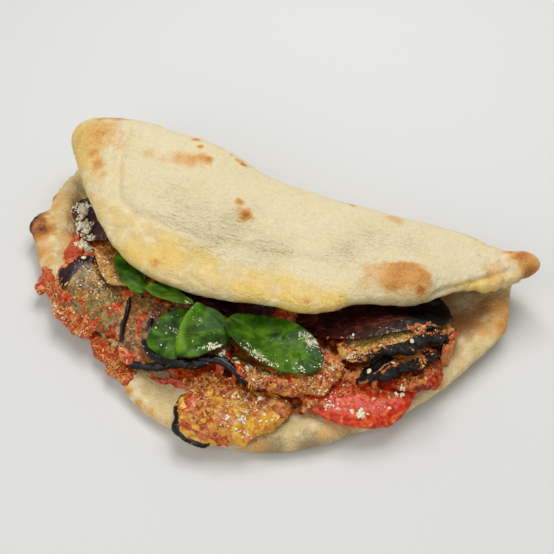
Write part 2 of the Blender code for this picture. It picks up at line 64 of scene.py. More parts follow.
def add(tree, kind, sockets=None, stops=None, **settings):
    """Adds a shader node, sets its properties and a ramp's stops, and fills its sockets."""
    node = tree.nodes.new("ShaderNode" + kind)
    for name, value in settings.items():
        setattr(node, name, value)
    if stops:
        ramp = node.color_ramp
        while len(ramp.elements) < len(stops):
            ramp.elements.new(0.5)
        for element, (place, colour) in zip(ramp.elements, stops):
            element.position = place
            element.color = linear(colour)
    fill(node, sockets or {})
    return node


def select_only(piece):
    """Selects this piece alone and makes it the active one."""
    bpy.ops.object.select_all(action="DESELECT")
    piece.select_set(True)
    bpy.context.view_layer.objects.active = piece


def finish_with(piece, kind, **settings):
    """Adds a modifier to the piece and applies it."""
    select_only(piece)
    modifier = piece.modifiers.new(kind, kind)
    for name, value in settings.items():
        setattr(modifier, name, value)
    bpy.ops.object.modifier_apply(modifier=modifier.name)


def even_out(piece, cell, relaxed):
    """Remeshes the piece in even cells of that size, in mm, and relaxes it that many times."""
    finish_with(piece, "REMESH", mode="VOXEL", voxel_size=cell * MM)
    finish_with(piece, "SMOOTH", factor=0.5, iterations=relaxed)


def from_node(node, name):
    """A finer piece over a solid of the frame: a copy of it, merged and rounded."""
    piece = bpy.data.objects.new(name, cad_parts[node].data.copy())
    piece.data.materials.clear()
    bpy.context.scene.collection.objects.link(piece)
    select_only(piece)
    bpy.ops.mesh.customdata_custom_splitnormals_clear()
    bpy.ops.object.mode_set(mode="EDIT")
    bpy.ops.mesh.select_all(action="SELECT")
    bpy.ops.mesh.remove_doubles(threshold=0.01 * MM)
    bpy.ops.mesh.tris_convert_to_quads()
    bpy.ops.object.mode_set(mode="OBJECT")
    finish_with(piece, "SUBSURF", levels=2, render_levels=2)
    return piece


def ruffle(piece, size, depth):
    """Raises and sinks the whole surface by a smooth noise of that size, both in mm."""
    texture = bpy.data.textures.new(f"{piece.name}_{size}", "CLOUDS")
    texture.noise_scale = size * MM
    finish_with(piece, "DISPLACE", texture=texture, texture_coords="LOCAL", strength=depth * MM)


def points_of(piece):
    """Every point of the piece, in mm."""
    points = np.empty(len(piece.data.vertices) * 3, np.float32)
    piece.data.vertices.foreach_get("co", points)
    return points.reshape(-1, 3).astype(float) * 1000


def normals_of(piece):
    """The way that the surface faces at every point."""
    normals = np.empty(len(piece.data.vertices) * 3, np.float32)
    piece.data.vertices.foreach_get("normal", normals)
    return normals.reshape(-1, 3).astype(float)


def move_to(piece, points):
    """Puts the points of the piece at these places, in mm."""
    piece.data.vertices.foreach_set("co", (points * MM).astype(np.float32).reshape(-1))
    piece.data.update()


def paint(piece, name, values):
    """Stores one number for each point, which the material reads by name."""
    store = piece.data.attributes.new(name, "FLOAT", "POINT")
    store.data.foreach_set("value", np.clip(values, 0, 2).astype(np.float32))


def noise(points, size, seed):
    """Smooth noise from 0 to 1 at each point, of that size in mm."""
    side = 24
    lattice = np.random.default_rng(seed).random((side, side, side))
    place = points / size
    cell = np.floor(place).astype(int)
    part = place - cell
    part = part * part * (3 - 2 * part)
    total = np.zeros(len(points))
    for x in (0, 1):
        for y in (0, 1):
            for z in (0, 1):
                share = np.ones(len(points))
                for axis, end in enumerate((x, y, z)):
                    share *= part[:, axis] if end else 1 - part[:, axis]
                i, j, k = ((cell + (x, y, z)) % side).T
                total += share * lattice[i, j, k]
    return total


def spots(points, places, seed=1):
    """Soft blots of uneven outline: x, y, z, radius and strength of each, in mm."""
    uneven = 0.5 + 0.6 * noise(points, 3.5, seed) + 0.4 * noise(points, 1.7, seed + 1)
    total = np.zeros(len(points))
    for x, y, z, radius, strength in places:
        far = np.linalg.norm(points - (x, y, z), axis=1) * uneven / radius
        total = np.maximum(total, strength * np.exp(-(far**2) * 1.2))
    return total


def from_line(points, line):
    """How far each point is from a line of straight runs, in mm."""
    nearest = np.full(len(points), 1e9)
    for a, b in zip(np.array(line[:-1], float), np.array(line[1:], float)):
        run = b - a
        share = np.clip(((points - a) @ run) / (run @ run), 0, 1)
        nearest = np.minimum(nearest, np.linalg.norm(points - a - share[:, None] * run, axis=1))
    return nearest


def smoothstep(low, high, values):
    """0 at low and 1 at high, with a soft start and end."""
    share = np.clip((values - low) / (high - low), 0, 1)
    return share * share * (3 - 2 * share)


def hump(distance, width):
    """1 at no distance, falling away softly over that width."""
    return np.exp(-((distance / width) ** 2))


# x, y, z, radius and strength of each browned place, in mm
TOASTED = (
    (98, 40, 27, 8, 0.8), (103, 34, 25, 7, 0.95), (39, 4, 34, 6, 0.4), (37, -4, 33, 6, 0.36),
    (60.5, 0, 34, 3.4, 0.95), (51, 2, 34.6, 6, 0.68),
    (-108, 37, 43, 6, 0.62), (-108, 37, 43, 15, 0.4), (-106, 27, 41, 5, 0.5), (-101, 21, 40, 5, 0.56),
    (-96, 16, 40, 4, 0.4), (-118, 33, 41, 9, 0.36), (-108, 56, 40, 9, 0.62), (-114, 50, 40, 6, 0.5),
    (-58.7, 45.4, 44, 2.2, 0.8), (-64, 51, 43, 2.8, 0.7), (-66, 34, 43.6, 7, 0.38),
    (-59, 35, 44, 7, 0.44), (-55, 38, 44, 5, 0.5), (-52, 38.5, 43.6, 3.4, 0.66),
    (-80, 33, 43, 5, 0.36), (-72, 31, 43, 4, 0.3), (39, 41.6, 32, 5, 0.42),
    (-51, 55, 41.5, 2.2, 0.9), (-47.5, 53, 41.5, 2.2, 0.95), (-44, 50.5, 41, 2.2, 1.0),
    (-40.5, 48.5, 40.5, 2.4, 1.05), (-37, 46, 39.5, 2.4, 1.0),
    (-29.3, 20.8, 38, 2.6, 0.62), (-28, 17, 38, 2.0, 0.45), (-23.5, 14.3, 37.5, 3.4, 0.82),
    (17.7, 43.5, 31.8, 3.0, 0.62), (12, 45, 32, 3, 0.42), (-52, -22.2, 33, 3.4, 0.56),
    (16, -20, 32, 3, 0.42), (17, -20.5, 32, 1.0, 0.9), (96, 12, 12, 6, 0.62), (99, 18, 12, 7, 0.6),
    (94, 22, 12, 8, 0.5), (90, 6, 11, 7, 0.4), (78, -27, 10, 4, 0.55), (84, -14, 11, 6, 0.3),
    (-123, -4, 12, 7, 1.1), (-129, 0, 11, 8, 1.6), (-117, -17, 12, 9, 0.55), (-110, -20, 12, 6, 0.45),
    (-116, 14, 9, 8, 0.4), (-110, -2, 9, 8, 0.45), (-105, -12, 9, 7, 0.4), (-44, -72, 6, 3.6, 0.6),
    (-38, -76, 6, 3.6, 0.65), (-31, -80, 6, 3.6, 0.65), (-24, -83, 6, 3.6, 0.6),
    (-124, 14, 12, 6, 0.4), (-131, 20, 11, 4, 0.9), (-124, -10, 12, 5, 0.7), (16, -78, 6, 9, 0.45),
    (30, -74, 2, 8, 0.3), (40, -66, 3, 7, 0.25), (-36, -76, 5, 3, 0.5), (-50, -68, 6, 3, 0.5),
    (-28, -79, 5, 4, 0.4),
    (88, 26, 26, 9, 0.36), (-8, 58, 20, 9, 0.5), (40, 54, 14, 8, 0.55), (-60, 62, 22, 10, 0.5),
    (-96, 60, 20, 8, 0.5), (70, 50, 12, 7, 0.5), (-30, 62, 10, 7, 0.4), (60, -58, 4, 9, 0.4),
    (-90, -60, 4, 9, 0.5), (-20, -20, 0, 16, 0.5), (40, 10, 0, 18, 0.55), (-70, 10, 0, 16, 0.5),
    (0, 34, 0, 14, 0.45), (60, -30, 0, 12, 0.5), (-100, 20, 0, 12, 0.5), (-40, -55, 0, 13, 0.5),
)
# the same for where the crust is oily
OILY = ((-64, -20, 30, 13, 1.0), (-48, -17, 33, 13, 1.1), (-30, -14, 33, 12, 1.0),
        (-8, -18, 33, 12, 0.8), (8, -10, 34, 12, 1.1), (24, -10, 33, 10, 0.9),
        (-96, 14, 38, 12, 0.8), (-112, 34, 42, 22, 1.3), (86, 22, 25, 12, 0.8),
        (92, 8, 11, 12, 0.5), (-122, 10, 12, 14, 0.6), (-88, 0, 34, 10, 0.5),
        (-6, -24, 30, 10, 1.3), (12, -22, 30, 10, 1.3), (28, -16, 30, 10, 1.2), (84, 18, 25, 12, 1.2))
# where oil and sauce have soaked into the inner face under the lid, darkened further with painted shade
SOAKED_AND_SHADE = ((80, 12, 8, 16, 1.1), (88, 22, 10, 12, 1.0), (76, -6, 10, 10, 0.9), (70, -22, 9, 9, 0.7),
          (92, 26, 11, 9, 0.8), (-112, 2, 8, 9, 0.5), (-104, -14, 8, 9, 0.6))
# the furrow between the lid's plateau and its rolled edge
FURROW = ((-97, 44, 43), (-92, 24, 40), (-84, 6, 37), (-74, 0, 36.5), (-62, -2, 36.5), (-38, -4, 35),
          (-10, -2, 35), (20, 2, 35))
# where the lid's dry skin is finely wrinkled
WRINKLED = ((-36, 1, 36, 15, 1.0), (-28, 8, 37, 13, 1.0), (-48, 6, 37, 13, 0.8), (-10, 0, 35, 12, 0.9),
            (24, 12, 35, 11, 0.8), (32, 24, 34, 12, 0.7), (48, 26, 33, 12, 0.6), (-58, 14, 38, 12, 0.5))
# greyish dough under the front slice: oil and juice that it has drunk, and painted shade
DAMP_AND_SHADE = ((22, -78, 6, 10, 0.9), (36, -71, 6, 10, 0.9), (50, -62, 6, 9, 0.8), (12, -82, 6, 7, 0.7))
# the line where the lid's right end was tucked over itself
TUCK = ((66, 3, 29.8), (69.2, 7.4, 29.4), (75, 13.6, 27.9), (80.5, 19, 27.5), (86, 24.2, 27.4),
        (89.8, 27.9, 27), (93.2, 31, 26.4), (96, 34, 25.5))
# the ridge of the blister at the right of the lid, and the crack across it
BLISTER = ((40, 2, 34.6), (48, 4, 35), (55.5, 4, 34.8))
CRACK = ((38, -2, 34), (40, 3, 34.6), (45, 7, 35))
# where the crust has puffed up or, below 0, sunk: x, y, z, radius and height, in mm
BULGES = ((99, 39, 25, 7.5, 1.9), (88, 19, 23, 7, 2.8), (80, 10, 25, 6, 2.0),
          (95, 29, 22, 6, 1.8), (-128, -1, 11, 6, 5.0), (-123, -6, 12, 4, 1.2),
          (-131, 20, 11, 3.5, 2.0), (-106, -36, 9, 8, 3.4), (-90, -50, 8, 8, -2.2),
          (-64, -22, 31, 9, 0.7), (-30, -22, 32, 9, 0.6), (14, -18, 32, 10, 0.8),
          (98, 15, 11, 8, 0.8), (-110, 30, 42, 9, 0.8), (-70, 40, 43, 8, 0.5),
          (-24, 14.5, 37.5, 5, 0.6), (22, -76, 6, 10, 0.8))
# where flour was rubbed off by oil at the left end of the lid
OILED_LOBE = ((-116, 32, 40, 20, 1.2), (-106, 14, 38, 12, 0.8))

bread = from_node("flatbread", "folded_dough")
even_out(bread, 1.06, 6)
ruffle(bread, 18, 1.6)
ruffle(bread, 5, 0.6)
at = points_of(bread)
# the left end of the fold stands a little higher and further back, and the right tip is fuller
at += spots(at, ((-106, 56, 36, 26, 1.0),), 9)[:, None] * (-1.0, 4.0, 1.6)
at += spots(at, ((100, 40, 24, 16, 1.0),), 9)[:, None] * (0.3, 1.0, 3.4)
move_to(bread, at)
out = normals_of(bread)
on_lid = smoothstep(0.55, 0.85, out[:, 2]) * smoothstep(26, 29, at[:, 2])
# how far in from the lid's open edge, in mm: the edge runs back towards both ends
inward = (at[:, 1] + 28 - 0.22 * np.maximum(-20 - at[:, 0], 0)
          - 0.25 * np.maximum(at[:, 0] - 20, 0))
plateau = on_lid * smoothstep(10, 22, inward)


def ridges(points, turn, long, size, seed):
    """Fine creases, 0 to 1, drawn out along a direction in plan: the dough's dry skin."""
    turn = math.radians(turn)
    along = points[:, 0] * math.cos(turn) + points[:, 1] * math.sin(turn)
    across = points[:, 1] * math.cos(turn) - points[:, 0] * math.sin(turn)
    bent = across + 1.6 * noise(points, 7, seed + 7)
    sheet = np.column_stack([along / long, bent, points[:, 2] * 0.3])
    return 1 - np.abs(2 * noise(sheet, size, seed) - 1)


# the plateau's creases run two ways in patches at the left, and crackle all ways at the right
patchy = smoothstep(0.3, 0.7, noise(at, 17, 5))
diagonal = ridges(at, 58, 3.2, 1.9, 3) ** 2
along_rim = ridges(at, -24, 4.0, 1.8, 4) ** 2
crackle = (1 - np.abs(2 * noise(at, 2.6, 6) - 1)) ** 2
to_right = smoothstep(10, 50, at[:, 0])
creased = (1 - to_right) * (patchy * diagonal + (1 - patchy) * along_rim) + to_right * crackle
creased = creased * (0.25 + 0.95 * smoothstep(0.3, 0.75, noise(at, 14, 8)))
wrinkled = spots(at, WRINKLED, 28)
creased = creased * (0.25 + 0.9 * wrinkled)
# how far the skin stands out, in mm: creases, folds along the rim, furrow, tuck, crack, bulges,
# blister, and the lumpy rim at the left end
lift = -0.8 * plateau * creased
long_folds = ridges(at, -20, 6.0, 3.2, 24) ** 3
lift -= 0.7 * on_lid * (1 - plateau) * long_folds
near_furrow = from_line(at, FURROW)
lift -= 1.5 * hump(near_furrow, 2.2) - 0.7 * hump(near_furrow - 5.5, 3)
lift -= 2.0 * hump(from_line(at, TUCK), 1.3) + 1.6 * hump(from_line(at, CRACK), 0.8)
for x, y, z, radius, height in BULGES:
    lift += height * spots(at, ((x, y, z, radius, 1),), 17)
near_blister = from_line(at, BLISTER) + 4 * (noise(at, 7, 51) - 0.5)
near_blister = near_blister + 2.4 * (noise(at, 2.6, 52) - 0.5)
lift += 3.0 * hump(near_blister, 7.5)
rough_rim = smoothstep(-60, -110, at[:, 0]) * (at[:, 2] < 20)
lift += rough_rim * (2.6 * (noise(at, 6, 18) - 0.45) + 1.4 * (noise(at, 2.6, 27) - 0.5))
at = at + out * lift[:, None]
at[:, 2] = np.maximum(at[:, 2], 0)
move_to(bread, at)

# browning: the places above, leopard spots on the back and the underside, a ring round the
# blister, the crack, and a faint cloud over the inner face and the underside
uneven = noise(at, 7, 11) * 0.6 + noise(at, 2.4, 12) * 0.4
toast = spots(at, TOASTED)
leopard = smoothstep(0.7, 0.86, noise(at, 9, 13)) * smoothstep(0.3, 0.6, noise(at, 2.5, 14))
unseen = np.maximum(smoothstep(0.2, -0.6, out[:, 2]), smoothstep(46, 56, at[:, 1]))
toast = np.maximum(toast, 0.5 * leopard * unseen)
blister_tone = 0.34 + 0.2 * smoothstep(38, 50, at[:, 0])
toast = np.maximum(toast, blister_tone * smoothstep(11.5, 4.5, near_blister))
toast = np.maximum(toast, 0.62 * hump(from_line(at, CRACK), 0.8))
toast = toast * (0.75 + 0.5 * uneven) + 0.12 * plateau * crackle * (1 - patchy)
inner = smoothstep(0.3, 0.8, out[:, 2]) * (at[:, 2] < 18)
inner = inner * smoothstep(-20, 60, np.abs(at[:, 0] + 20))
toast = np.maximum(toast, inner * (0.06 + 0.3 * smoothstep(0.5, 0.8, noise(at, 10, 19))))
clouded = 0.3 * smoothstep(0.5, 0.8, noise(at, 14, 20))
toast = np.maximum(toast, clouded * smoothstep(0.3, -0.4, out[:, 2]))
paint(bread, "toast", toast)
paint(bread, "soaked_and_shade", spots(at, SOAKED_AND_SHADE, 25) * smoothstep(0.35, 0.65, 0.4 * noise(at, 6, 26) + 0.6))
dusted = plateau * (0.7 + 0.6 * noise(at, 10, 15)) + 0.3 * smoothstep(0.5, 0.9, noise(at, 12, 16))
paint(bread, "flour", dusted * np.clip(1.1 - spots(at, OILED_LOBE, 31), 0, 1))
oily = np.maximum(spots(at, OILY, 2), 0.35 * on_lid * (1 - plateau))
paint(bread, "oily", oily * (0.6 + 0.8 * noise(at * (0.4, 1, 1), 4, 10)))
# painted shade: darker in the plateau's creases and in the long folds of the rim
paint(bread, "crease_shade", plateau * creased + 0.5 * on_lid * (1 - plateau) * long_folds)
paint(bread, "wrinkled", wrinkled * on_lid)
paint(bread, "damp", spots(at, DAMP_AND_SHADE, 30))


def new_material(name):
    """An empty material: its tree, and its shader joined to the output."""
    material = bpy.data.materials.new(name)
    material.use_nodes = True
    tree = material.node_tree
    tree.nodes.clear()
    shader = add(tree, "BsdfPrincipled")
    add(tree, "OutputMaterial", {"Surface": shader.outputs[0]})
    return material, tree, shader


def wear(piece, material, slot, *nodes):
    """Puts the material on the finished piece and hands it to the frame, in place of any nodes."""
    piece.data.materials.clear()
    piece.data.materials.append(material)
    piece.data.shade_smooth()
    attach(piece, "root")
    if nodes:
        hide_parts(*nodes)


# Wheat dough, floured and stone baked: matt and dusty, creamy yellow where oiled, and browned
# in soft-edged blots with a fine speckle. Its creases, folds and fine wrinkles carry painted shade.
DOUGH_DARK, DOUGH, DOUGH_PALE = "#D2B880", "#DBC48E", "#E6D8B0"
DOUGH_OILY, DOUGH_DUSTY, DOUGH_CREASE_SHADE = "#E1C068", "#DED0A9", "#C8B484"
DOUGH_DAMP_AND_SHADE, DOUGH_SOAKED_AND_SHADE, DOUGH_WRINKLE_SHADE = "#9A855E", "#9A6630", "#BDAA7C"
TOAST_LIGHT, TOAST_DEEP, TOAST_BLACK = "#D3974A", "#A05E28", "#24130E"
baked_dough, tree, shader = new_material("stone_baked_dough")
where = add(tree, "TexCoord").outputs["Object"]
# mottling of the dough is about 5 mm across, flour lies in specks of about 0.9 mm
mottle = add(tree, "TexNoise", {"Vector": where, "Scale": 200, "Detail": 4}).outputs["Fac"]
speck = add(tree, "TexNoise", {"Vector": where, "Scale": 1100, "Detail": 3}).outputs["Fac"]
dough = add(tree, "ValToRGB", {"Fac": mottle}, ((0.3, DOUGH_DARK), (0.5, DOUGH), (0.7, DOUGH_PALE)))
colour = dough.outputs["Color"]
# the dry skin of the lid has wrinkled into lines about 1.2 mm apart, drawn out along the stretch
stretched = add(tree, "Mapping", {"Vector": where, "Rotation": (0, 0, math.radians(-50)),
                                  "Scale": (0.28, 1, 0.5)}).outputs[0]
wrinkle = add(tree, "TexNoise", {"Vector": stretched, "Scale": 800, "Detail": 3,
                                 "Distortion": 0.6}).outputs["Fac"]
dry = add(tree, "Attribute", attribute_name="wrinkled").outputs["Fac"]
wrinkles = add(tree, "Math", {0: dry, 1: wrinkle}, operation="MULTIPLY").outputs[0]
# the oil ran along the rim in streaks about 3 mm wide and 20 mm long
drawn = add(tree, "Mapping", {"Vector": where, "Rotation": (0, 0, math.radians(-8)),
                              "Scale": (0.16, 1, 0.6)}).outputs[0]
streak = add(tree, "TexNoise", {"Vector": drawn, "Scale": 300, "Detail": 2,
                                "Distortion": 0.3}).outputs["Fac"]
# each mask, where it starts and is full, its colour, and how far the flour breaks up its edge
for mask, low, high, tint, broken in (
    ("oily", 0.1, 0.9, DOUGH_OILY, 0.3), ("flour", 0.2, 1.1, DOUGH_DUSTY, 0.5),
    ("crease_shade", 0.2, 0.9, DOUGH_CREASE_SHADE, 0.15), ("damp", 0.2, 0.9, DOUGH_DAMP_AND_SHADE, 0.3),
    ("soaked_and_shade", 0.2, 1.1, DOUGH_SOAKED_AND_SHADE, 0.25),
    ("toast", 0.12, 0.6, TOAST_LIGHT, 0.12), ("toast", 0.45, 0.95, TOAST_DEEP, 0.22),
    ("toast", 0.9, 1.3, TOAST_BLACK, 0.3),
):
    amount = add(tree, "Attribute", attribute_name=mask).outputs["Fac"]
    drift = add(tree, "MapRange", {"Value": speck, "From Min": 0.3, "From Max": 0.7,
                                   "To Min": -broken / 2, "To Max": broken / 2},
                clamp=False).outputs["Result"]
    amount = add(tree, "Math", {0: amount, 1: drift}, operation="ADD").outputs[0]
    if mask == "oily":
        run = add(tree, "MapRange", {"Value": streak, "From Min": 0.28, "From Max": 0.72,
                                     "To Min": 0.4, "To Max": 1.25}).outputs["Result"]
        amount = add(tree, "Math", {0: amount, 1: run}, operation="MULTIPLY").outputs[0]
    share = add(tree, "MapRange", {"Value": amount, "From Min": low, "From Max": high},
                interpolation_type="SMOOTHSTEP").outputs["Result"]
    # the painted shade in the creases is kept faint
    if mask == "crease_shade":
        share = add(tree, "Math", {0: share, 1: 0.3}, operation="MULTIPLY").outputs[0]
    colour = add(tree, "Mix", {0: share, 6: colour, 7: linear(tint)}, data_type="RGBA").outputs[2]
# painted shade: darker in the troughs of the fine wrinkles
low = add(tree, "MapRange", {"Value": wrinkle, "From Min": 0.48, "From Max": 0.3}).outputs["Result"]
low = add(tree, "Math", {0: low, 1: dry}, operation="MULTIPLY").outputs[0]
low = add(tree, "Math", {0: low, 1: 0.42}, operation="MULTIPLY").outputs[0]
colour = add(tree, "Mix", {0: low, 6: colour, 7: linear(DOUGH_WRINKLE_SHADE)}, data_type="RGBA").outputs[2]
oiled = add(tree, "Attribute", attribute_name="oily").outputs["Fac"]
dull = add(tree, "MapRange", {"Value": oiled, "To Min": 0.8, "To Max": 0.38}).outputs["Result"]
crease = add(tree, "TexNoise", {"Vector": where, "Scale": 480, "Detail": 5,
                                "Distortion": 1.2}).outputs["Fac"]
oil_runs = add(tree, "Math", {0: streak, 1: oiled}, operation="MULTIPLY").outputs[0]
# what stands up on the surface: its pattern, its depth in mm, and its strength
under = {}
for pattern, depth, strength in ((speck, 0.35, 0.7), (crease, 1.3, 0.7), (wrinkles, 2.4, 1.0),
                                 (oil_runs, 1.6, 0.45)):
    relief = add(tree, "Bump", {"Height": pattern, "Distance": depth * MM,
                                "Strength": strength, **under})
    under = {"Normal": relief.outputs[0]}
fill(shader, {"Base Color": colour, "Roughness": dull, "Normal": relief.outputs[0],
              "Subsurface Weight": 0.1, "Subsurface Radius": (1.0, 0.6, 0.3),
              "Subsurface Scale": 1.0 * MM})
wear(bread, baked_dough, "bread", "flatbread")

# Sauce
# Tomato sauce with melted cheese, spread over the dough before the slices went on. It is wet and
# lumpy, red where it is tomato and creamy orange where cheese has melted into it.

sauce = from_node("sauce_bed", "tomato_cheese_sauce")
even_out(sauce, 0.95, 4)
ruffle(sauce, 5, 2.2)
ruffle(sauce, 1.9, 0.9)
at = points_of(sauce)
paint(sauce, "cheesy", smoothstep(0.45, 0.75, noise(at, 6, 21) * 0.6 + noise(at, 2, 22) * 0.4))

SAUCE_RED, SAUCE_ORANGE, SAUCE_CREAM, SAUCE_DARK = "#B42C06", "#C85C14", "#DCA056", "#741E08"


def wet_food(name, rough, coat, bleed, far):
    """A material for something moist: a glossy coat of juice, a weak white reflection, which keeps
    the colours deep, and light of which a share, bleed, soaks in by far mm."""
    material, tree, shader = new_material(name)
    fill(shader, {"Roughness": rough, "Specular IOR Level": 0.22,
                  "Coat Weight": coat, "Coat Roughness": 0.18, "Subsurface Weight": bleed,
                  "Subsurface Radius": (1.0, 0.5, 0.2), "Subsurface Scale": far * MM})
    return material, tree, shader


# Cooked tomato sauce with melted cheese: wet, glossy, broken up at about 3 mm.
tomato_sauce, tree, shader = wet_food("simmered_tomato_cheese_sauce", 0.3, 0.45, 0.12, 1.5)
where = add(tree, "TexCoord").outputs["Object"]
cheesy = add(tree, "Attribute", attribute_name="cheesy").outputs["Fac"]
pulp = add(tree, "TexNoise", {"Vector": where, "Scale": 520, "Detail": 6,
                              "Distortion": 1.0}).outputs["Fac"]
red = add(tree, "ValToRGB", {"Fac": pulp},
          ((0.3, SAUCE_DARK), (0.45, SAUCE_RED), (0.6, SAUCE_ORANGE), (0.76, SAUCE_CREAM)))
thread = add(tree, "TexNoise", {"Vector": where, "Scale": 700, "Detail": 3}).outputs["Fac"]
melted = add(tree, "Math", {0: cheesy, 1: thread}, operation="MULTIPLY").outputs[0]
melted = add(tree, "MapRange", {"Value": melted, "From Min": 0.3, "From Max": 0.7}).outputs["Result"]
colour = add(tree, "Mix", {0: melted, 6: red.outputs["Color"], 7: linear(SAUCE_CREAM)},
             data_type="RGBA").outputs[2]
bits = add(tree, "TexNoise", {"Vector": where, "Scale": 1500, "Detail": 4}).outputs["Fac"]
grain = add(tree, "Bump", {"Height": bits, "Distance": 0.35 * MM, "Strength": 0.6})
relief = add(tree, "Bump", {"Height": pulp, "Distance": 1.1 * MM, "Strength": 0.7,
                            "Normal": grain.outputs[0]})
fill(shader, {"Base Color": colour, "Normal": relief.outputs[0]})
wear(sauce, tomato_sauce, "sauce", "sauce_bed")

# Grilled aubergine
# Slices cut about 4 mm thick, grilled and dressed with oil. The flesh cooks to a wet tan, the skin
# stays on the rim as a strip of near-black purple, and grated cheese has melted into the tops.


def rim_share(points, middle, heading):
    """How far each point lies from a slice's middle to its rim in plan, 0 to 1, and its turn."""
    offset = points[:, :2] - middle
    turn = (np.arctan2(offset[:, 1], offset[:, 0]) - math.radians(heading)) % (2 * math.pi)
    reach = np.hypot(offset[:, 0], offset[:, 1])
    count = 72
    sector = (turn / (2 * math.pi) * count).astype(int) % count
    furthest = [reach[sector == s].max() if (sector == s).any() else 0 for s in range(count)]
    furthest = np.maximum(furthest, 1)
    centres = (np.arange(count) + 0.5) / count * 2 * math.pi
    return reach / np.interp(turn, centres, furthest, period=2 * math.pi), np.degrees(turn)


def round_part(turn, middle, half):
    """1 within half degrees of the middle turn, falling to 0 beyond."""
    apart = np.abs((turn - middle + 180) % 360 - 180)
    return smoothstep(half + 14, half - 4, apart)


def raised(piece, share=0):
    """1 where a fused crumb stands above the slice it lies on. The rim, where share nears 1, is
    left out."""
    before = points_of(piece)
    out = normals_of(piece)
    kept = piece.data.copy()
    finish_with(piece, "SMOOTH", factor=0.5, iterations=25)
    after = points_of(piece)
    piece.data = kept
    above = smoothstep(0.15, 0.4, ((before - after) * out).sum(1))
    return above * (out[:, 2] > -0.2) * (share < 0.86)


SKIN_BLACK, SKIN_BROWN, SKIN_EDGE = "#120A0D", "#2E1719", "#5A2A18"
CHAR, CRUMB = "#0E0704", "#E9DDB4"


def aubergine(name, flesh, deep, bright, sauce, skin):
    """Grilled aubergine: the flesh wet and fibrous at about 2 mm, the skin smooth and shiny, and
    black and dull where it has charred."""
    material, tree, shader = wet_food(name, 0.34, 0.45, 0.15, 1.5)
    where = add(tree, "TexCoord").outputs["Object"]
    fibre = add(tree, "TexNoise", {"Vector": where, "Scale": 520, "Detail": 6,
                                   "Distortion": 1.2}).outputs["Fac"]
    patch = add(tree, "TexNoise", {"Vector": where, "Scale": 170, "Detail": 4,
                                   "Distortion": 0.5}).outputs["Fac"]
    both = add(tree, "Mix", {0: 0.5, 2: fibre, 3: patch}).outputs[0]
    flesh_tone = add(tree, "ValToRGB", {"Fac": both}, ((0.4, deep), (0.49, flesh), (0.6, bright)))
    colour = flesh_tone.outputs["Color"]
    for mask, low, high, tint in (("smear", 0.2, 0.9, sauce), ("skin", 0.25, 0.45, SKIN_EDGE),
                                  ("skin", 0.38, 0.6, skin), ("char", 0.3, 0.7, CHAR),
                                  ("cheese", 0.3, 0.7, CRUMB)):
        amount = add(tree, "Attribute", attribute_name=mask).outputs["Fac"]
        share = add(tree, "MapRange", {"Value": amount, "From Min": low, "From Max": high},
                    interpolation_type="SMOOTHSTEP").outputs["Result"]
        if mask == "smear":
            share = add(tree, "Math", {0: share, 1: fibre}, operation="MULTIPLY").outputs[0]
            share = add(tree, "MapRange", {"Value": share, "From Min": 0.25,
                                           "From Max": 0.6}).outputs["Result"]
        colour = add(tree, "Mix", {0: share, 6: colour, 7: linear(tint)}, data_type="RGBA").outputs[2]
    burnt = add(tree, "Attribute", attribute_name="char").outputs["Fac"]
    bare_skin = add(tree, "Attribute", attribute_name="skin").outputs["Fac"]
    unglazed = add(tree, "Math", {0: burnt, 1: bare_skin}, operation="MAXIMUM").outputs[0]
    glaze = add(tree, "MapRange", {"Value": unglazed, "To Min": 0.55, "To Max": 0.1}).outputs["Result"]
    rough = add(tree, "MapRange", {"Value": bare_skin, "To Min": 0.34,
                                   "To Max": 0.18}).outputs["Result"]
    rough = add(tree, "MapRange", {"Value": burnt, "To Min": rough, "To Max": 0.42}).outputs["Result"]
    bits = add(tree, "TexNoise", {"Vector": where, "Scale": 1300, "Detail": 4}).outputs["Fac"]
    depth = add(tree, "Math", {0: bare_skin, 1: burnt}, operation="SUBTRACT", use_clamp=True).outputs[0]
    depth = add(tree, "MapRange", {"Value": depth, "To Min": 0.8, "To Max": 0.2}).outputs["Result"]
    grain = add(tree, "Bump", {"Height": bits, "Distance": 0.5 * MM, "Strength": depth})
    relief = add(tree, "Bump", {"Height": fibre, "Distance": 1.1 * MM, "Strength": depth,
                                "Normal": grain.outputs[0]})
    fill(shader, {"Base Color": colour, "Coat Weight": glaze, "Roughness": rough,
                  "Normal": relief.outputs[0]})
    return material


# name, middle x and y, heading, strips of skin (turn and half width in degrees, share of the way
# to the rim, width as a share), char, how much sauce smears it, its flesh, deep, bright and sauce
# colours, and its slot
SLICES = (
    ("aubergine_front", 2, -71, 20, ((185, 46, 0.98, 0.045),), 0.2, 0.42,
     "#CC8A1C", "#B4560E", "#E2B232", "#C85412", "aubergine_flesh"),
    ("aubergine_middle", 17, -46, 14, ((213, 28, 0.9, 0.12),), 0.7, 0.7,
     "#B26A1C", "#80420F", "#CE9234", "#A84A12", "aubergine_flesh"),
    ("aubergine_left_top", -72, -13, -45, (), 0.1, 0.4,
     "#B87E36", "#8C501A", "#D0A256", "#AE5416", "aubergine_flesh"),
    ("aubergine_left_low", -76, -32, -35, ((184, 44, 0.84, 0.16),), 0.2, 0.25,
     "#80652F", "#4E3A20", "#A68A48", "#8E461C", "aubergine"),
    ("aubergine_centre_low", -38, -43, 10, ((262, 34, 0.95, 0.1),), 0.3, 0.5,
     "#A4743A", "#5E3820", "#C89A5C", "#A2401C", "aubergine"),
    ("aubergine_centre_top", -27, -44, 10, ((262, 50, 0.95, 0.13),), 0.3, 0.5,
     "#8E6238", "#4A2818", "#B88A50", "#8E301C", "aubergine"),
    ("aubergine_right_low", 59, -24, 52, ((266, 70, 0.9, 0.26),), 1.0, 0.8,
     "#A4602A", "#602E18", "#C88A4A", "#9C3C1A", "aubergine"),
    ("aubergine_right_top", 56, -16, 43, ((270, 76, 0.93, 0.22),), 1.0, 0.6,
     "#BC8E3A", "#8A4E20", "#D2AE5A", "#AA4A1C", "aubergine"),
)
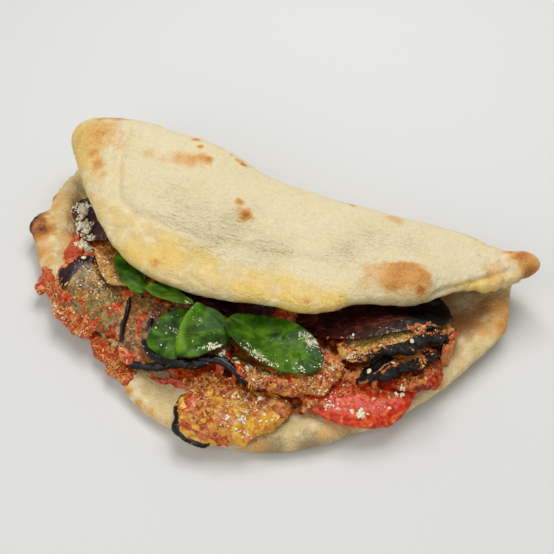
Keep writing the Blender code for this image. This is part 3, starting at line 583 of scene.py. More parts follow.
# skin that crosses the middle slices as thin upright edges, the curled rim in front of the leaves,
# and the two charred strips at the right, in mm
UPRIGHT = (((-60.5, -30, 24), (-57.5, -38, 24), (-56.5, -44, 23), (-55.5, -50, 20), (-54, -56, 16.5)),
           ((-53.5, -33, 22), (-48.5, -41, 24), (-44, -47.3, 24.1), (-40.5, -53, 24), (-37, -59, 20)))
CURLED_RIM = ((-18, -57, 22.5), (-12.4, -55.4, 23), (-7.5, -54.5, 22.5), (-3, -55.5, 21.5),
              (1.5, -58.5, 20.5), (5.6, -61.4, 18.5))
CHARRED = (((41, -40, 17), (48, -38.9, 19.5), (53, -33.5, 23.5), (59.6, -29, 28.7), (67.4, -22, 28.4),
            (74.4, -14, 24.8), (79.5, -5, 20)),
           ((55, -42, 17.5), (59.1, -39.1, 23), (65, -33.7, 24.3), (71.4, -27, 22.9), (75.5, -20, 19)))
# the crease in plan down the front slice
FRONT_CREASE = ((5, -60, 0), (9, -70, 0), (13, -84, 0))
aubergines = []
for name, x, y, heading, strips, charred, smeared, flesh, deep, bright, sauced, slot in SLICES:
    piece = from_node(name, "grilled_" + name)
    even_out(piece, 0.6, 3)
    at = points_of(piece)
    share, turn = rim_share(at, (x, y), heading)
    cheese = raised(piece, share)
    ragged = share + 0.07 * (noise(at, 3, 31) - 0.5)
    skin = np.zeros(len(at))
    for middle, half, ring, wide in strips:
        strip = np.exp(-(((ragged - ring) / wide) ** 2) * 1.5)
        skin = np.maximum(skin, round_part(turn, middle, half) * strip)
    flaked = smoothstep(0.28, 0.5, noise(at, 3.2, 38)) if charred > 0.9 else 1.0
    skin = np.clip(skin * 1.5, 0, 1) * (normals_of(piece)[:, 2] > -0.5) * flaked
    upright, black = np.zeros(len(at)), np.zeros(len(at))
    if "centre" in name:
        upright = np.maximum(*(hump(from_line(at, line), 1.2) for line in UPRIGHT))
    if "right" in name:
        nearest = np.minimum(*(from_line(at, line) for line in CHARRED))
        black = smoothstep(3.9, 2.6, nearest + 1.6 * (noise(at, 3, 46) - 0.5))
    lift = 0.7 * skin - 0.3 + black * 2.2 * (noise(at, 2.6, 47) - 0.35)
    at = at + normals_of(piece) * lift[:, None]
    at[:, 2] += 1.4 * upright + 0.6 * black
    skin = np.maximum(skin, upright)
    if name == "aubergine_front":
        at[:, 2] -= 1.6 * hump(from_line(at * (1, 1, 0), FRONT_CREASE), 1.8)
        at[:, 0] += 1.6 * (noise(at, 6, 39) - 0.5)
        at[:, 1] += 2.4 * (noise(at, 6, 40) - 0.5)
    at[:, 0] += 3.2 * (noise(at, 9, 34) - 0.5)
    at[:, 1] += 3.2 * (noise(at, 9, 35) - 0.5)
    at[:, 2] += 2.2 * (noise(at * (1, 1, 0.2), 11, 36) - 0.5)
    move_to(piece, at)
    if name in ("aubergine_front", "aubergine_middle"):
        ruffle(piece, 9, 2.6)
    ruffle(piece, 4, 1.2)
    ruffle(piece, 1.5, 0.35 + 0.5 * charred)
    at = points_of(piece)
    paint(piece, "skin", skin)
    paint(piece, "cheese", cheese)
    paint(piece, "char", np.maximum(black, charred * skin * smoothstep(0.2, 0.5, noise(at, 2.5, 32))))
    spread = 0.35 * share + 1.2 * smoothstep(0.4, 0.8, noise(at, 4, 33))
    paint(piece, "smear", smeared * spread * (1 - skin))
    purple = SKIN_BROWN if "left" in name else SKIN_BLACK
    wear(piece, aubergine("grilled_" + name, flesh, deep, bright, sauced, purple), slot, name)
    aubergines.append(piece)

# Tomato
# Two slices of ripe tomato at the front right, laid in raw. The front one is still bright red and
# wet on its cut face, with painted shade darkening its back under the filling, and the one behind it
# has browned with the cheese.

# Sliced ripe tomato: bright red, smooth and wet, with paler cells about 2.5 mm across. Where it
# was under the grill it has gone rust brown, and the same dark tones are painted on as shade at the
# back of the front slice.
TOMATO = ((0.34, "#A61806"), (0.5, "#CC3810"), (0.62, "#DE5C28"), (0.72, "#EE9A68"))
TOMATO_BROWNED_AND_SHADE = ((0.34, "#4E1408"), (0.5, "#8A2E10"), (0.62, "#B4602A"), (0.7, "#C88A4C"))
fresh_tomato, tree, shader = wet_food("sliced_ripe_tomato", 0.32, 0.15, 0.04, 2.0)
where = add(tree, "TexCoord").outputs["Object"]
cells = add(tree, "TexNoise", {"Vector": where, "Scale": 420, "Detail": 6,
                               "Distortion": 0.6}).outputs["Fac"]
raw = add(tree, "ValToRGB", {"Fac": cells}, TOMATO).outputs["Color"]
cooked = add(tree, "ValToRGB", {"Fac": cells}, TOMATO_BROWNED_AND_SHADE).outputs["Color"]
roast_and_shade = add(tree, "Attribute", attribute_name="roast_and_shade").outputs["Fac"]
colour = add(tree, "Mix", {0: roast_and_shade, 6: raw, 7: cooked}, data_type="RGBA").outputs[2]
crumbed = add(tree, "Attribute", attribute_name="cheese").outputs["Fac"]
colour = add(tree, "Mix", {0: crumbed, 6: colour, 7: linear("#EFE2C4")}, data_type="RGBA").outputs[2]
relief = add(tree, "Bump", {"Height": cells, "Distance": 0.9 * MM, "Strength": 0.8})
fill(shader, {"Base Color": colour, "Normal": relief.outputs[0]})
tomatoes = []
for name in ("tomato_slice_1", "tomato_slice_2"):
    piece = from_node(name, "ripe_" + name)
    even_out(piece, 0.7, 4)
    at = points_of(piece)
    share, _ = rim_share(at, at[:, :2].mean(0), 0)
    cheese = raised(piece, share)
    ruffle(piece, 7, 0.9)
    ruffle(piece, 2.0, 0.5 if name == "tomato_slice_1" else 1.6)
    # painted shade: the back of the front slice, under the filling, takes the browned tones
    roast_and_shade = smoothstep(-36, -31, at[:, 1] + 4 * (noise(at, 4, 56) - 0.5))
    if name == "tomato_slice_2":
        roast_and_shade = 0.35 + 0.65 * smoothstep(0.35, 0.6, noise(at, 4, 57))
    paint(piece, "roast_and_shade", roast_and_shade)
    paint(piece, "cheese", cheese)
    wear(piece, fresh_tomato, "tomato", name)
    tomatoes.append(piece)

# Cured ham
# Thin, dry-cured slices laid in flat before the dough was folded over them. They show as dark
# maroon under the lid's edge and at the left end, where three small heaps of cheese lie on them.

# Air-dried ham: dark maroon lean meat, darkened further with painted shade where it lies under the lid,
# mottled at about 6 mm, only a little shiny.
LEAN_AND_SHADE, HAM_CHARRED_AND_SHADE = ((0.3, "#1C0908"), (0.5, "#32110D"), (0.7, "#5E261A")), "#0E0A0A"
cured_ham, tree, shader = wet_food("air_dried_ham", 0.4, 0.12, 0.05, 1.0)
where = add(tree, "TexCoord").outputs["Object"]
lean = add(tree, "TexNoise", {"Vector": where, "Scale": 180, "Detail": 5,
                              "Distortion": 1.2}).outputs["Fac"]
tone = add(tree, "ValToRGB", {"Fac": lean}, LEAN_AND_SHADE)
colour = tone.outputs["Color"]
for mask, tint in (("burnt", HAM_CHARRED_AND_SHADE), ("cheese", "#EFE7CF")):
    amount = add(tree, "Attribute", attribute_name=mask).outputs["Fac"]
    colour = add(tree, "Mix", {0: amount, 6: colour, 7: linear(tint)}, data_type="RGBA").outputs[2]
relief = add(tree, "Bump", {"Height": lean, "Distance": 0.8 * MM, "Strength": 0.6})
fill(shader, {"Base Color": colour, "Normal": relief.outputs[0]})
# the heaps of cheese: x, y, z, radius and strength, in mm
HEAPS = ((-106, 8, 16, 4, 1), (-101, -1, 17, 4, 1), (-96, -10, 19, 4, 1))
hams = []
for name in ("ham_right", "ham_centre", "ham_left"):
    piece = from_node(name, "cured_" + name)
    even_out(piece, 0.6, 3)
    at = points_of(piece)
    cheese = raised(piece) * np.clip(2 * spots(at, HEAPS), 0, 1)
    # the right end is charred, and painted near-black as well for the deep shade under the lid there
    burnt = smoothstep(54, 66, at[:, 0] + 4 * noise(at, 6, 42))
    at[:, 2] += burnt * 2.4 * (noise(at, 5, 43) - 0.5)
    if name == "ham_left":
        at[:, 0] += 4.0 * (noise(at, 8, 44) - 0.5)
        at[:, 1] += 4.0 * (noise(at, 8, 45) - 0.5)
    move_to(piece, at)
    ruffle(piece, 8, 1.0)
    ruffle(piece, 2.2, 0.7)
    paint(piece, "cheese", cheese)
    paint(piece, "burnt", burnt)
    wear(piece, cured_ham, "cured_ham", name)
    hams.append(piece)

# Basil
# Four fresh leaves tucked in at the mouth. Each is a thin blade that puffs up between its veins,
# waxy and shiny on top, with a paler midrib sunk along the middle.

# name, middle x and y, heading of the tip, half length and half width, in mm
LEAVES = (("basil_back", -59, -24, 141, 26, 10), ("basil_left", -24, -47, 212, 20, 14),
          ("basil_curled", -41, -29, -16, 17, 8.5), ("basil_front", 8, -38, -12, 26, 15))
# Fresh basil: deep, slightly waxy green, mottled at about 6 mm, paler along the veins and on the
# underside where a leaf turns over, with a painted sheen of paler green over the middle of the
# front leaf. It shines less than the wet food around it.
LEAF, LEAF_PALE = ((0.3, "#142803"), (0.5, "#294C05"), (0.7, "#4E780A")), "#628A10"
basil, tree, shader = wet_food("fresh_basil_leaf", 0.4, 0.05, 0.06, 0.8)
where = add(tree, "TexCoord").outputs["Object"]
blade = add(tree, "TexNoise", {"Vector": where, "Scale": 160, "Detail": 3}).outputs["Fac"]
green = add(tree, "ValToRGB", {"Fac": blade}, LEAF).outputs["Color"]
veins_and_sheen = add(tree, "Attribute", attribute_name="veins_and_sheen").outputs["Fac"]
colour = add(tree, "Mix", {0: veins_and_sheen, 6: green, 7: linear(LEAF_PALE)}, data_type="RGBA").outputs[2]
fill(shader, {"Base Color": colour, "Specular IOR Level": 0.1})
# where basil_left doubles back on itself: its fold line, in mm
LEAF_FOLD = ((-30, -34, 25), (-31, -42, 25), (-29.5, -50, 25), (-25, -57, 25))
leaves = []
for name, x, y, heading, half_length, half_width in LEAVES:
    piece = from_node(name, "fresh_" + name)
    finish_with(piece, "SUBSURF", levels=1, render_levels=1)
    at = points_of(piece)
    turn = math.radians(heading)
    along = ((at[:, 0] - x) * math.cos(turn) + (at[:, 1] - y) * math.sin(turn)) / half_length
    across = (-(at[:, 0] - x) * math.sin(turn) + (at[:, 1] - y) * math.cos(turn)) / half_width
    midrib = hump(across, 0.06)
    ribs = ((along - 0.55 * np.abs(across)) * 3.6) % 1
    side = hump(np.minimum(ribs, 1 - ribs), 0.07) * (1 - np.abs(across) * 0.6)
    puff = np.sin(np.pi * ribs) * (1 - midrib) * smoothstep(1.0, 0.6, np.abs(across))
    pale = np.zeros(len(at))
    if name == "basil_curled":
        at += smoothstep(0.1, 1.0, along)[:, None] * (3.0, 1.5, 0) + (0, 0.4, 1.0)
        at += smoothstep(0.3, -0.9, across)[:, None] * (-0.8, -2.8, 0.4)
        pale = 0.75 * smoothstep(-0.2, -0.9, along) + 0.6 * smoothstep(-0.45, -0.85, across)
    if name == "basil_left":
        near = from_line(at * (1, 1, 0) + (0, 0, 25), LEAF_FOLD)
        beyond = at[:, 0] + 30 - 0.02 * (at[:, 1] + 45) ** 2 > 0
        at[:, 2] += np.where(beyond, 3.0 * hump(near, 6), -1.2 * hump(near, 3))
        pale = np.where(beyond, 1.2 * np.exp(-((near / 3.0) ** 4)), 0)
    # painted sheen: paler green over the middle of the front leaf
    if name == "basil_front":
        pale = 0.55 * spots(at, ((12, -46, 24, 7, 1), (3, -34, 24, 5, 0.5)), 58)
    at[:, 2] += 0.28 * puff - 0.35 * midrib + 1.0 * (noise(at, 9, 37) - 0.5)
    move_to(piece, at)
    paint(piece, "veins_and_sheen", 0.16 * midrib + 0.05 * side + 0.75 * pale)
    wear(piece, basil, "basil", name)
    leaves.append(piece)

# Sauce and melted cheese on top
# What was spooned over or squeezed out: red sauce along the left rim, shreds of it on the front
# slices, and roasted, crumbly cheese between the charred slices at the right.

# how far lumps and grains keep from the lines of skin and char, which stay bare, in mm
LUMP_CLEAR, GRAIN_CLEAR = 2.6, 1.9
marks = [a + (b - a) * share for line in (*UPRIGHT, CURLED_RIM, *CHARRED)
         for a, b in zip(np.array(line[:-1], float), np.array(line[1:], float))
         for share in np.arange(0, 1, 1 / np.linalg.norm(b - a))]
bare_places = KDTree(len(marks))
for number, mark in enumerate(marks):
    bare_places.insert(mark, number)
bare_places.balance()


def squashed_ball(subdivisions, size):
    """The points and faces of a ball of radius 1 squashed to that size, to be copied many times."""
    bpy.ops.object.select_all(action="DESELECT")
    bpy.ops.mesh.primitive_ico_sphere_add(subdivisions=subdivisions, radius=1)
    ball = bpy.context.object
    bpy.ops.object.mode_set(mode="EDIT")
    bpy.ops.mesh.select_all(action="SELECT")
    bpy.ops.transform.resize(value=size)
    bpy.ops.object.mode_set(mode="OBJECT")
    points = np.array([v.co for v in ball.data.vertices])
    faces = np.array([p.vertices for p in ball.data.polygons])
    bpy.data.objects.remove(ball)
    return points, faces


def ground_of(pieces):
    """The surfaces of all these pieces as one ground to drop things on, in metres."""
    corners, faces = [], []
    for piece in pieces:
        start = len(corners)
        corners += [tuple(v.co) for v in piece.data.vertices]
        faces += [[start + i for i in p.vertices] for p in piece.data.polygons]
    return BVHTree.FromPolygons(corners, faces)


def fall(ground, x, y, start=60):
    """Where something dropped at x, y from start mm up lands: the place, in metres, and normal."""
    return ground.ray_cast((x * MM, y * MM, start * MM), (0, 0, -1))[:2]


def new_piece(name, corners, faces):
    """A piece made of these points, in mm, and faces, with its faces turned outwards."""
    mesh = bpy.data.meshes.new(name)
    mesh.from_pydata(corners * MM, [], faces.tolist())
    mesh.update()
    piece = bpy.data.objects.new(name, mesh)
    bpy.context.scene.collection.objects.link(piece)
    select_only(piece)
    bpy.ops.object.mode_set(mode="EDIT")
    bpy.ops.mesh.select_all(action="SELECT")
    bpy.ops.mesh.normals_make_consistent(inside=False)
    bpy.ops.object.mode_set(mode="OBJECT")
    return piece


def of_copies(name, copies, faces):
    """One piece made of many copies of a shape: the points of each, in mm, and its faces."""
    starts = len(copies[0]) * np.arange(len(copies))[:, None, None]
    return new_piece(name, np.concatenate(copies), (faces[None] + starts).reshape(-1, 3))


lump_points, lump_faces = squashed_ball(2, (1.0, 0.75, 0.5))


def daub(name, ground, covers, runs, seed, cell=0.65):
    """Soft lumps dropped along runs and melted into one mass: start and end, spread, how many,
    and smallest and largest radius. Nothing lands where the leaves cover the ground, and a lump
    may hang out over the rim only where it touches the rim or another lump."""
    rng = np.random.default_rng(seed)
    corners, placed = [], []
    for start, end, spread, count, small, large in runs:
        for _ in range(count):
            middle = np.array(start) + (np.array(end) - start) * rng.random()
            x, y = middle + rng.normal(0, spread / 2, 2)
            size = small + (large - small) * rng.random() ** 1.5
            place, up = fall(ground, x, y)
            if fall(covers, x, y)[0] is not None:
                continue
            if place is None:
                place, up = ground.find_nearest((x * MM, y * MM, 8 * MM))[:2]
                rim = (place.x * 1000, place.y * 1000)
                x, y = (x + rim[0]) / 2, (y + rim[1]) / 2
                loose = all(math.dist((x, y), other) > 0.8 * size for other in placed)
                if math.dist((x, y), rim) > 0.5 * size and loose:
                    continue
            elif up.z < 0.45 or bare_places.find(place * 1000)[2] < LUMP_CLEAR:
                continue
            placed.append((x, y))
            up = np.array(up)
            ahead = np.cross(up, rng.normal(size=3))
            ahead /= np.linalg.norm(ahead)
            turned = np.stack([ahead, np.cross(up, ahead), up], 1)
            centre = (x, y, max(place.z * 1000, size * 0.5))
            corners.append(lump_points * size @ turned.T + centre)
    piece = of_copies(name, corners, lump_faces)
    even_out(piece, cell, 5)
    ruffle(piece, 3.0, 0.7)
    ruffle(piece, 1.2, 0.2)
    at = points_of(piece)
    at[:, 2] = np.maximum(at[:, 2], 0.1)
    move_to(piece, at)
    cheesy = noise(at, 4, seed + 1) * 0.6 + noise(at, 1.6, seed + 2) * 0.4
    paint(piece, "cheesy", smoothstep(0.4, 0.7, cheesy))
    return piece


def pool(name, ground, floor, dry, low, high, sink, reach, seed, cell):
    """A sauce that has run into the dips between the slices: it follows their tops, closed over
    gaps of up to twice reach, and lies sink mm lower, with soft waves of its own. It sinks
    further at the dry places, where the slices stand clear of it, and thins out beyond the food.
    Low and high are the corners of its grid of cells in plan, and floor the dough under it."""
    xs = np.arange(low[0], high[0], cell)
    ys = np.arange(low[1], high[1], cell)
    tops = np.full((len(xs), len(ys)), -5.0)
    food = np.zeros(tops.shape, bool)
    for i, x in enumerate(xs):
        for j, y in enumerate(ys):
            landed, under = fall(ground, x, y)[0], fall(floor, x, y, 15)[0]
            if landed is not None:
                food[i, j] = True
                tops[i, j] = landed.z * 1000
            if under is not None:
                tops[i, j] = max(tops[i, j], under.z * 1000)

    def spread(values, steps, pick):
        """Gives each cell the pick of its neighbours, by turns of 4 and of 8, that many times."""
        for step in range(steps):
            padded = np.pad(values, 1, mode="edge")
            parts = [padded[1:-1, 1:-1], padded[:-2, 1:-1], padded[2:, 1:-1],
                     padded[1:-1, :-2], padded[1:-1, 2:]]
            if step % 2:
                parts += [padded[:-2, :-2], padded[2:, :-2], padded[:-2, 2:], padded[2:, 2:]]
            values = pick(parts, axis=0)
        return values

    steps = int(reach / cell)
    level = spread(spread(tops, steps, np.max), steps, np.min)
    for _ in range(3):
        level = (level + spread(level, 1, np.mean)) / 2
    away = np.zeros(tops.shape)
    near = food.astype(float)
    for _ in range(8):
        away += cell * (near < 0.5)
        near = spread(near, 1, np.max)
    grid = np.stack(np.meshgrid(xs, ys, indexing="ij"), -1).reshape(-1, 2)
    flat = np.column_stack([grid, np.zeros(len(grid))])
    waves = (noise(flat, 7, seed) - 0.5) * 3.0 + (noise(flat, 2.6, seed + 1) - 0.5) * 1.5
    level = level - sink + waves.reshape(tops.shape) - 0.3 * away**1.5
    level -= 3.6 * spots(flat, dry, seed + 2).reshape(tops.shape)
    # the sauce is kept where it shows, closed by an underside and a wall round its edge
    keep = (level > tops - 1.2) & (tops > 0)
    cells = keep[:-1, :-1] & keep[1:, :-1] & keep[:-1, 1:] & keep[1:, 1:]
    number = np.arange(tops.size).reshape(tops.shape)
    quads = np.stack([number[:-1, :-1], number[1:, :-1], number[1:, 1:], number[:-1, 1:]], -1)[cells]
    under = np.minimum(tops, level) - 1.5
    above = np.column_stack([grid, level.reshape(-1)])
    below = np.column_stack([grid, np.maximum(under.reshape(-1), 0.4)])
    edges = dict.fromkeys((a, b) for quad in quads for a, b in zip(quad, np.roll(quad, -1)))
    rims = np.array([(a, b) for a, b in edges if (b, a) not in edges])
    count = tops.size
    walls = np.column_stack([rims[:, 1], rims[:, 0], rims[:, 0] + count, rims[:, 1] + count])
    faces = np.concatenate([quads, quads[:, ::-1] + count, walls])
    used, faces = np.unique(faces, return_inverse=True)
    corners = np.concatenate([above, below])[used]
    piece = new_piece(name, corners, faces.reshape(-1, 4))
    finish_with(piece, "SMOOTH", factor=0.5, iterations=1)
    return piece


# where the slices stand clear of the pooled sauce: x, y, z, radius and strength, in mm
SLICE_TOPS = ((-80, -26, 0, 12, 1.0), (-72, -16, 0, 10, 1.0), (-88, -20, 0, 8, 1.0),
              (-72, -34, 0, 8, 1.0), (-51, -44, 0, 8, 1.0), (-44, -52, 0, 6, 0.8),
              (6, -74, 0, 9, 0.9), (18, -71, 0, 7, 0.9), (62, -24, 0, 10, 1.0),
              (52, -33, 0, 8, 1.0), (70, -14, 0, 8, 1.0))
slices = aubergines + tomatoes + hams + leaves
pooled = pool("pooled_sauce", ground_of(aubergines + [sauce]), ground_of([bread]), SLICE_TOPS,
              low=(-112, -84), high=(80, 14), sink=0.6, reach=5.6, seed=61, cell=0.8)
at = points_of(pooled)
# it turns from red at the left rim to browned cheese at the right
cheesy = noise(at, 6, 63) * 0.55 + noise(at, 2.2, 64) * 0.35 + 0.2 * smoothstep(-30, 40, at[:, 0])
paint(pooled, "cheesy", smoothstep(0.35, 0.75, cheesy))
wear(pooled, tomato_sauce, "sauce")

# start, end, spread, how many, smallest and largest radius, all in mm
RED_SAUCE = (
    ((-109, -28), (-108, -40), 2.0, 110, 1.0, 2.4), ((-107, -26), (-99, -37), 2.6, 60, 1.0, 2.6),
    ((-101, -36), (-88, -46), 2.6, 100, 1.0, 2.8),
    ((-90, -46), (-74, -54), 3.0, 150, 1.2, 3.0), ((-78, -51), (-64, -58), 5.0, 200, 1.2, 3.0),
    ((-66, -57), (-50, -65), 5.0, 200, 1.2, 2.8), ((-58, -58), (-46, -64), 4.0, 80, 1.0, 2.2),
    ((-99, -30), (-93, -18), 2.2, 40, 0.9, 2.0),
    ((-100, -20), (-92, -6), 2.0, 30, 0.8, 1.6), ((-60, -44), (-56, -54), 2.0, 24, 0.7, 1.5),
    ((-24, -60), (-12, -58), 3.0, 60, 0.9, 2.2), ((-16, -62), (-12, -76), 2.6, 110, 0.7, 1.8),
    ((-12, -58), (2, -57), 2.5, 60, 0.8, 2.0), ((-10, -80), (8, -84), 2.0, 50, 0.6, 1.4),
    ((-4, -62), (8, -62), 2.4, 50, 0.7, 1.6), ((66, -38), (73, -28), 2.2, 40, 0.8, 1.7),
    ((68, -34), (73, -28), 1.8, 50, 0.6, 1.4), ((62, -42), (74, -32), 1.8, 70, 0.6, 1.4),
    ((30, -46), (42, -40), 2.4, 50, 0.6, 1.3),
    ((54, -42), (66, -34), 1.6, 30, 0.6, 1.2), ((14, -62), (32, -56), 2.4, 50, 0.7, 1.5),
    ((-8, -70), (-2, -80), 2.2, 40, 0.5, 1.2),
)
leaf_tops = ground_of(leaves)
red = daub("spooned_tomato_sauce", ground_of(slices + [sauce, bread]), leaf_tops, RED_SAUCE, 41)
wear(red, tomato_sauce, "sauce")

# Cheese that melted and browned on the grill: dull orange tan, crumbly at about 1.5 mm.
ROASTED = (
    ((32, -44), (40, -36), 4.0, 120, 0.5, 1.2), ((36, -40), (60, -30), 1.6, 40, 0.5, 1.1),
    ((61, -22), (71, -9), 2.4, 70, 0.5, 1.3), ((60, -18), (68, -10), 1.6, 30, 0.6, 1.4),
    ((56, -38), (74, -22), 1.6, 60, 0.5, 1.2), ((-63, -26), (-60, -46), 1.4, 30, 0.6, 1.4),
    ((-86, -8), (-74, -18), 3.0, 60, 0.5, 1.2), ((-12, -58), (2, -54), 3.0, 60, 0.6, 1.4),
    ((-48, -58), (-38, -60), 2.0, 30, 0.6, 1.2), ((-96, -4), (-88, -14), 2.0, 30, 0.6, 1.2),
    ((16, -58), (30, -52), 3.0, 60, 0.5, 1.2), ((-12, -66), (-8, -74), 2.0, 40, 0.6, 1.4),
    ((-10, -62), (26, -60), 4.0, 170, 0.8, 2.2), ((26, -29), (37, -29), 3.0, 70, 0.7, 1.8),
    ((60, -42), (70, -36), 1.6, 60, 0.5, 1.2), ((73, -29), (77, -20), 1.6, 30, 0.4, 1.0),
    ((44, -46), (54, -42), 1.4, 30, 0.4, 0.9), ((19, -64), (34, -56), 3.0, 110, 0.7, 1.8),
    ((22, -68), (28, -60), 2.0, 30, 0.8, 1.6),
)
melted_cheese, tree, shader = wet_food("roasted_melted_cheese", 0.42, 0.3, 0.15, 1.2)
where = add(tree, "TexCoord").outputs["Object"]
blotch = add(tree, "TexNoise", {"Vector": where, "Scale": 420, "Detail": 4}).outputs["Fac"]
tone = add(tree, "ValToRGB", {"Fac": blotch},
           ((0.32, "#6A260C"), (0.46, "#A24C1A"), (0.58, "#C47A34"), (0.72, "#DDAC68")))
relief = add(tree, "Bump", {"Height": blotch, "Distance": 0.5 * MM, "Strength": 0.6})
fill(shader, {"Base Color": tone.outputs["Color"], "Normal": relief.outputs[0]})
roasted = daub("roasted_cheese", ground_of(slices + [sauce]), leaf_tops, ROASTED, 51, 0.55)
wear(roasted, melted_cheese, "sauce")

# Curl of grilled skin
# The strip of skin on the rim of the slice in front of the leaves came away on the grill and rolled
# up into a glossy black curl. It still hangs on to its slice at both ends.

# its radius at each point of the rim, in mm
CURL_WIDE = (0.7, 1.5, 1.8, 1.8, 1.5, 0.7)
bpy.ops.object.select_all(action="DESELECT")
bpy.ops.mesh.primitive_circle_add(vertices=16, radius=CURL_WIDE[0] * MM, fill_type="NGON",
                                  location=Vector(CURLED_RIM[0]) * MM, rotation=(0, math.pi / 2, 0))
curl = bpy.context.object
curl.name = "curl_of_grilled_skin"
bpy.ops.object.mode_set(mode="EDIT")
bpy.ops.mesh.select_all(action="SELECT")
bpy.ops.transform.resize(value=(1, 1.25, 0.9))
for near_end, far_end, before, after in zip(CURLED_RIM, CURLED_RIM[1:], CURL_WIDE, CURL_WIDE[1:]):
    far_end = Vector(far_end) * MM
    bpy.ops.mesh.extrude_region_move(TRANSFORM_OT_translate={"value": far_end - Vector(near_end) * MM})
    bpy.ops.transform.resize(value=[after / before] * 3, center_override=far_end)
bpy.ops.mesh.select_all(action="SELECT")
bpy.ops.mesh.normals_make_consistent(inside=False)
bpy.ops.object.mode_set(mode="OBJECT")
bpy.ops.object.transform_apply(location=True, rotation=True, scale=True)
finish_with(curl, "SUBSURF", levels=3, render_levels=3)
even_out(curl, 0.5, 4)
ruffle(curl, 4, 1.0)
ruffle(curl, 1.6, 0.4)
at = points_of(curl)
paint(curl, "skin", np.ones(len(at)))
paint(curl, "char", 0.5 * smoothstep(0.5, 0.8, noise(at, 3, 55)))
for clean in ("cheese", "smear"):
    paint(curl, clean, np.zeros(len(at)))
wear(curl, aubergine("glossy_grilled_skin", "#5E3820", "#2A1410", "#8E6238", "#8E301C", SKIN_BLACK),
     "aubergine")

# Grated cheese
# Hard cheese grated very fine and sprinkled over the open mouth, lying where it fell. Most of it
# is dry and white. The finest of it dusts the leaves, and none is left on the bare black skin.

grain_points, grain_faces = squashed_ball(1, (1.0, 0.8, 0.7))


def sprinkle(name, ground, covers, places, seed, stretch=1.0, palest=0.0):
    """Grains dropped straight down in small clusters: x, y, spread along and across, heading,
    how many, and smallest and largest radius, in mm. Nothing lands on what covers the ground,
    stretch draws the grains out into shreds, and palest lightens the darkest of them."""
    rng = np.random.default_rng(seed)
    corners, tones = [], []
    for x, y, long, wide, heading, count, small, large in places:
        turn = math.radians(heading)
        knots = rng.normal(0, 0.45, (max(3, count // 22), 2))
        for _ in range(count):
            if rng.random() < 0.6:
                u, v = knots[rng.integers(len(knots))] + rng.normal(0, 0.09, 2)
            else:
                u, v = rng.normal(0, 0.5, 2)
            u, v = u * long, v * wide
            size = small + (large - small) * rng.random() ** 2.5
            drop = (x + u * math.cos(turn) - v * math.sin(turn),
                    y + u * math.sin(turn) + v * math.cos(turn))
            place, up = fall(ground, *drop)
            if place is None or up.z < 0.25 or bare_places.find(place * 1000)[2] < GRAIN_CLEAR:
                continue
            if fall(covers, *drop)[0] is not None:
                continue
            spin, _ = np.linalg.qr(rng.normal(size=(3, 3)))
            shape = grain_points * (1 + 0.35 * rng.normal(size=(len(grain_points), 1)))
            shape = shape * size * (stretch, 1, 1)
            corners.append(shape @ spin.T + np.array(place) * 1000 + (0, 0, size * 0.35))
            tones += [palest + (1 - palest) * rng.random()] * len(grain_points)
    piece = of_copies(name, corners, grain_faces)
    paint(piece, "tone", np.array(tones))
    return piece


# the small cluster at 64, -41 is a painted highlight: white crumbs that stand for a glint at the right
# end of the front tomato
SPRINKLED = (
    (24, -33, 6, 4, -30, 330, 0.12, 0.4), (6, -50, 9, 4, -25, 330, 0.12, 0.42),
    (8, -38, 24, 11, -12, 60, 0.1, 0.22), (-77, -28, 14, 12, -35, 90, 0.22, 0.6),
    (-111, 15, 5, 4, -45, 300, 0.3, 1.0), (-105, 5, 5, 4, -45, 300, 0.3, 1.0),
    (-98, -6, 5, 4, -45, 300, 0.3, 1.0), (64, -41, 2.4, 1.4, 30, 26, 0.4, 0.9),
    (8, -68, 12, 9, 60, 150, 0.25, 0.9), (-10, -53, 7, 3, 10, 260, 0.25, 0.75),
    (16, -54, 24, 9, 14, 110, 0.22, 0.65), (38, -40, 12, 9, 40, 180, 0.2, 0.65),
    (54, -26, 26, 8, 42, 180, 0.14, 0.42), (38, -54, 9, 4, 5, 70, 0.2, 0.6),
    (50, -54, 3, 2, 10, 10, 0.5, 1.2), (51.9, -55.1, 1.1, 0.9, 10, 16, 0.8, 1.5),
    (58, -50, 12, 7, 10, 24, 0.12, 0.3),
    (-44, -52, 14, 10, 10, 70, 0.2, 0.5), (-29, -38, 5, 4, 0, 40, 0.15, 0.4),
    (-50, -24, 20, 8, -20, 12, 0.2, 0.4), (-20, -46, 12, 10, 0, 30, 0.12, 0.3),
    (-84, -50, 24, 5, -32, 60, 0.3, 0.7),
)
# Finely grated hard cheese: dry and matt, near white, with some crumbs as yellow as the rind side,
# and a little light let through at the edges.
GRATED = ((0.0, "#D9BD84"), (0.3, "#E9DDBA"), (1.0, "#F6F2E2"))
grated, tree, shader = new_material("finely_grated_hard_cheese")
tone = add(tree, "Attribute", attribute_name="tone").outputs["Fac"]
colour = add(tree, "ValToRGB", {"Fac": tone}, GRATED)
fill(shader, {"Base Color": colour.outputs["Color"], "Roughness": 0.55,
              "Subsurface Weight": 0.15, "Subsurface Scale": 0.5 * MM})
basil_back = leaves[0]
crumbs = sprinkle("grated_cheese", ground_of(slices + [sauce, red, roasted, curl]),
                  ground_of([basil_back]), SPRINKLED, 7)
crumbs.data.materials.append(grated)
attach(crumbs, "root")

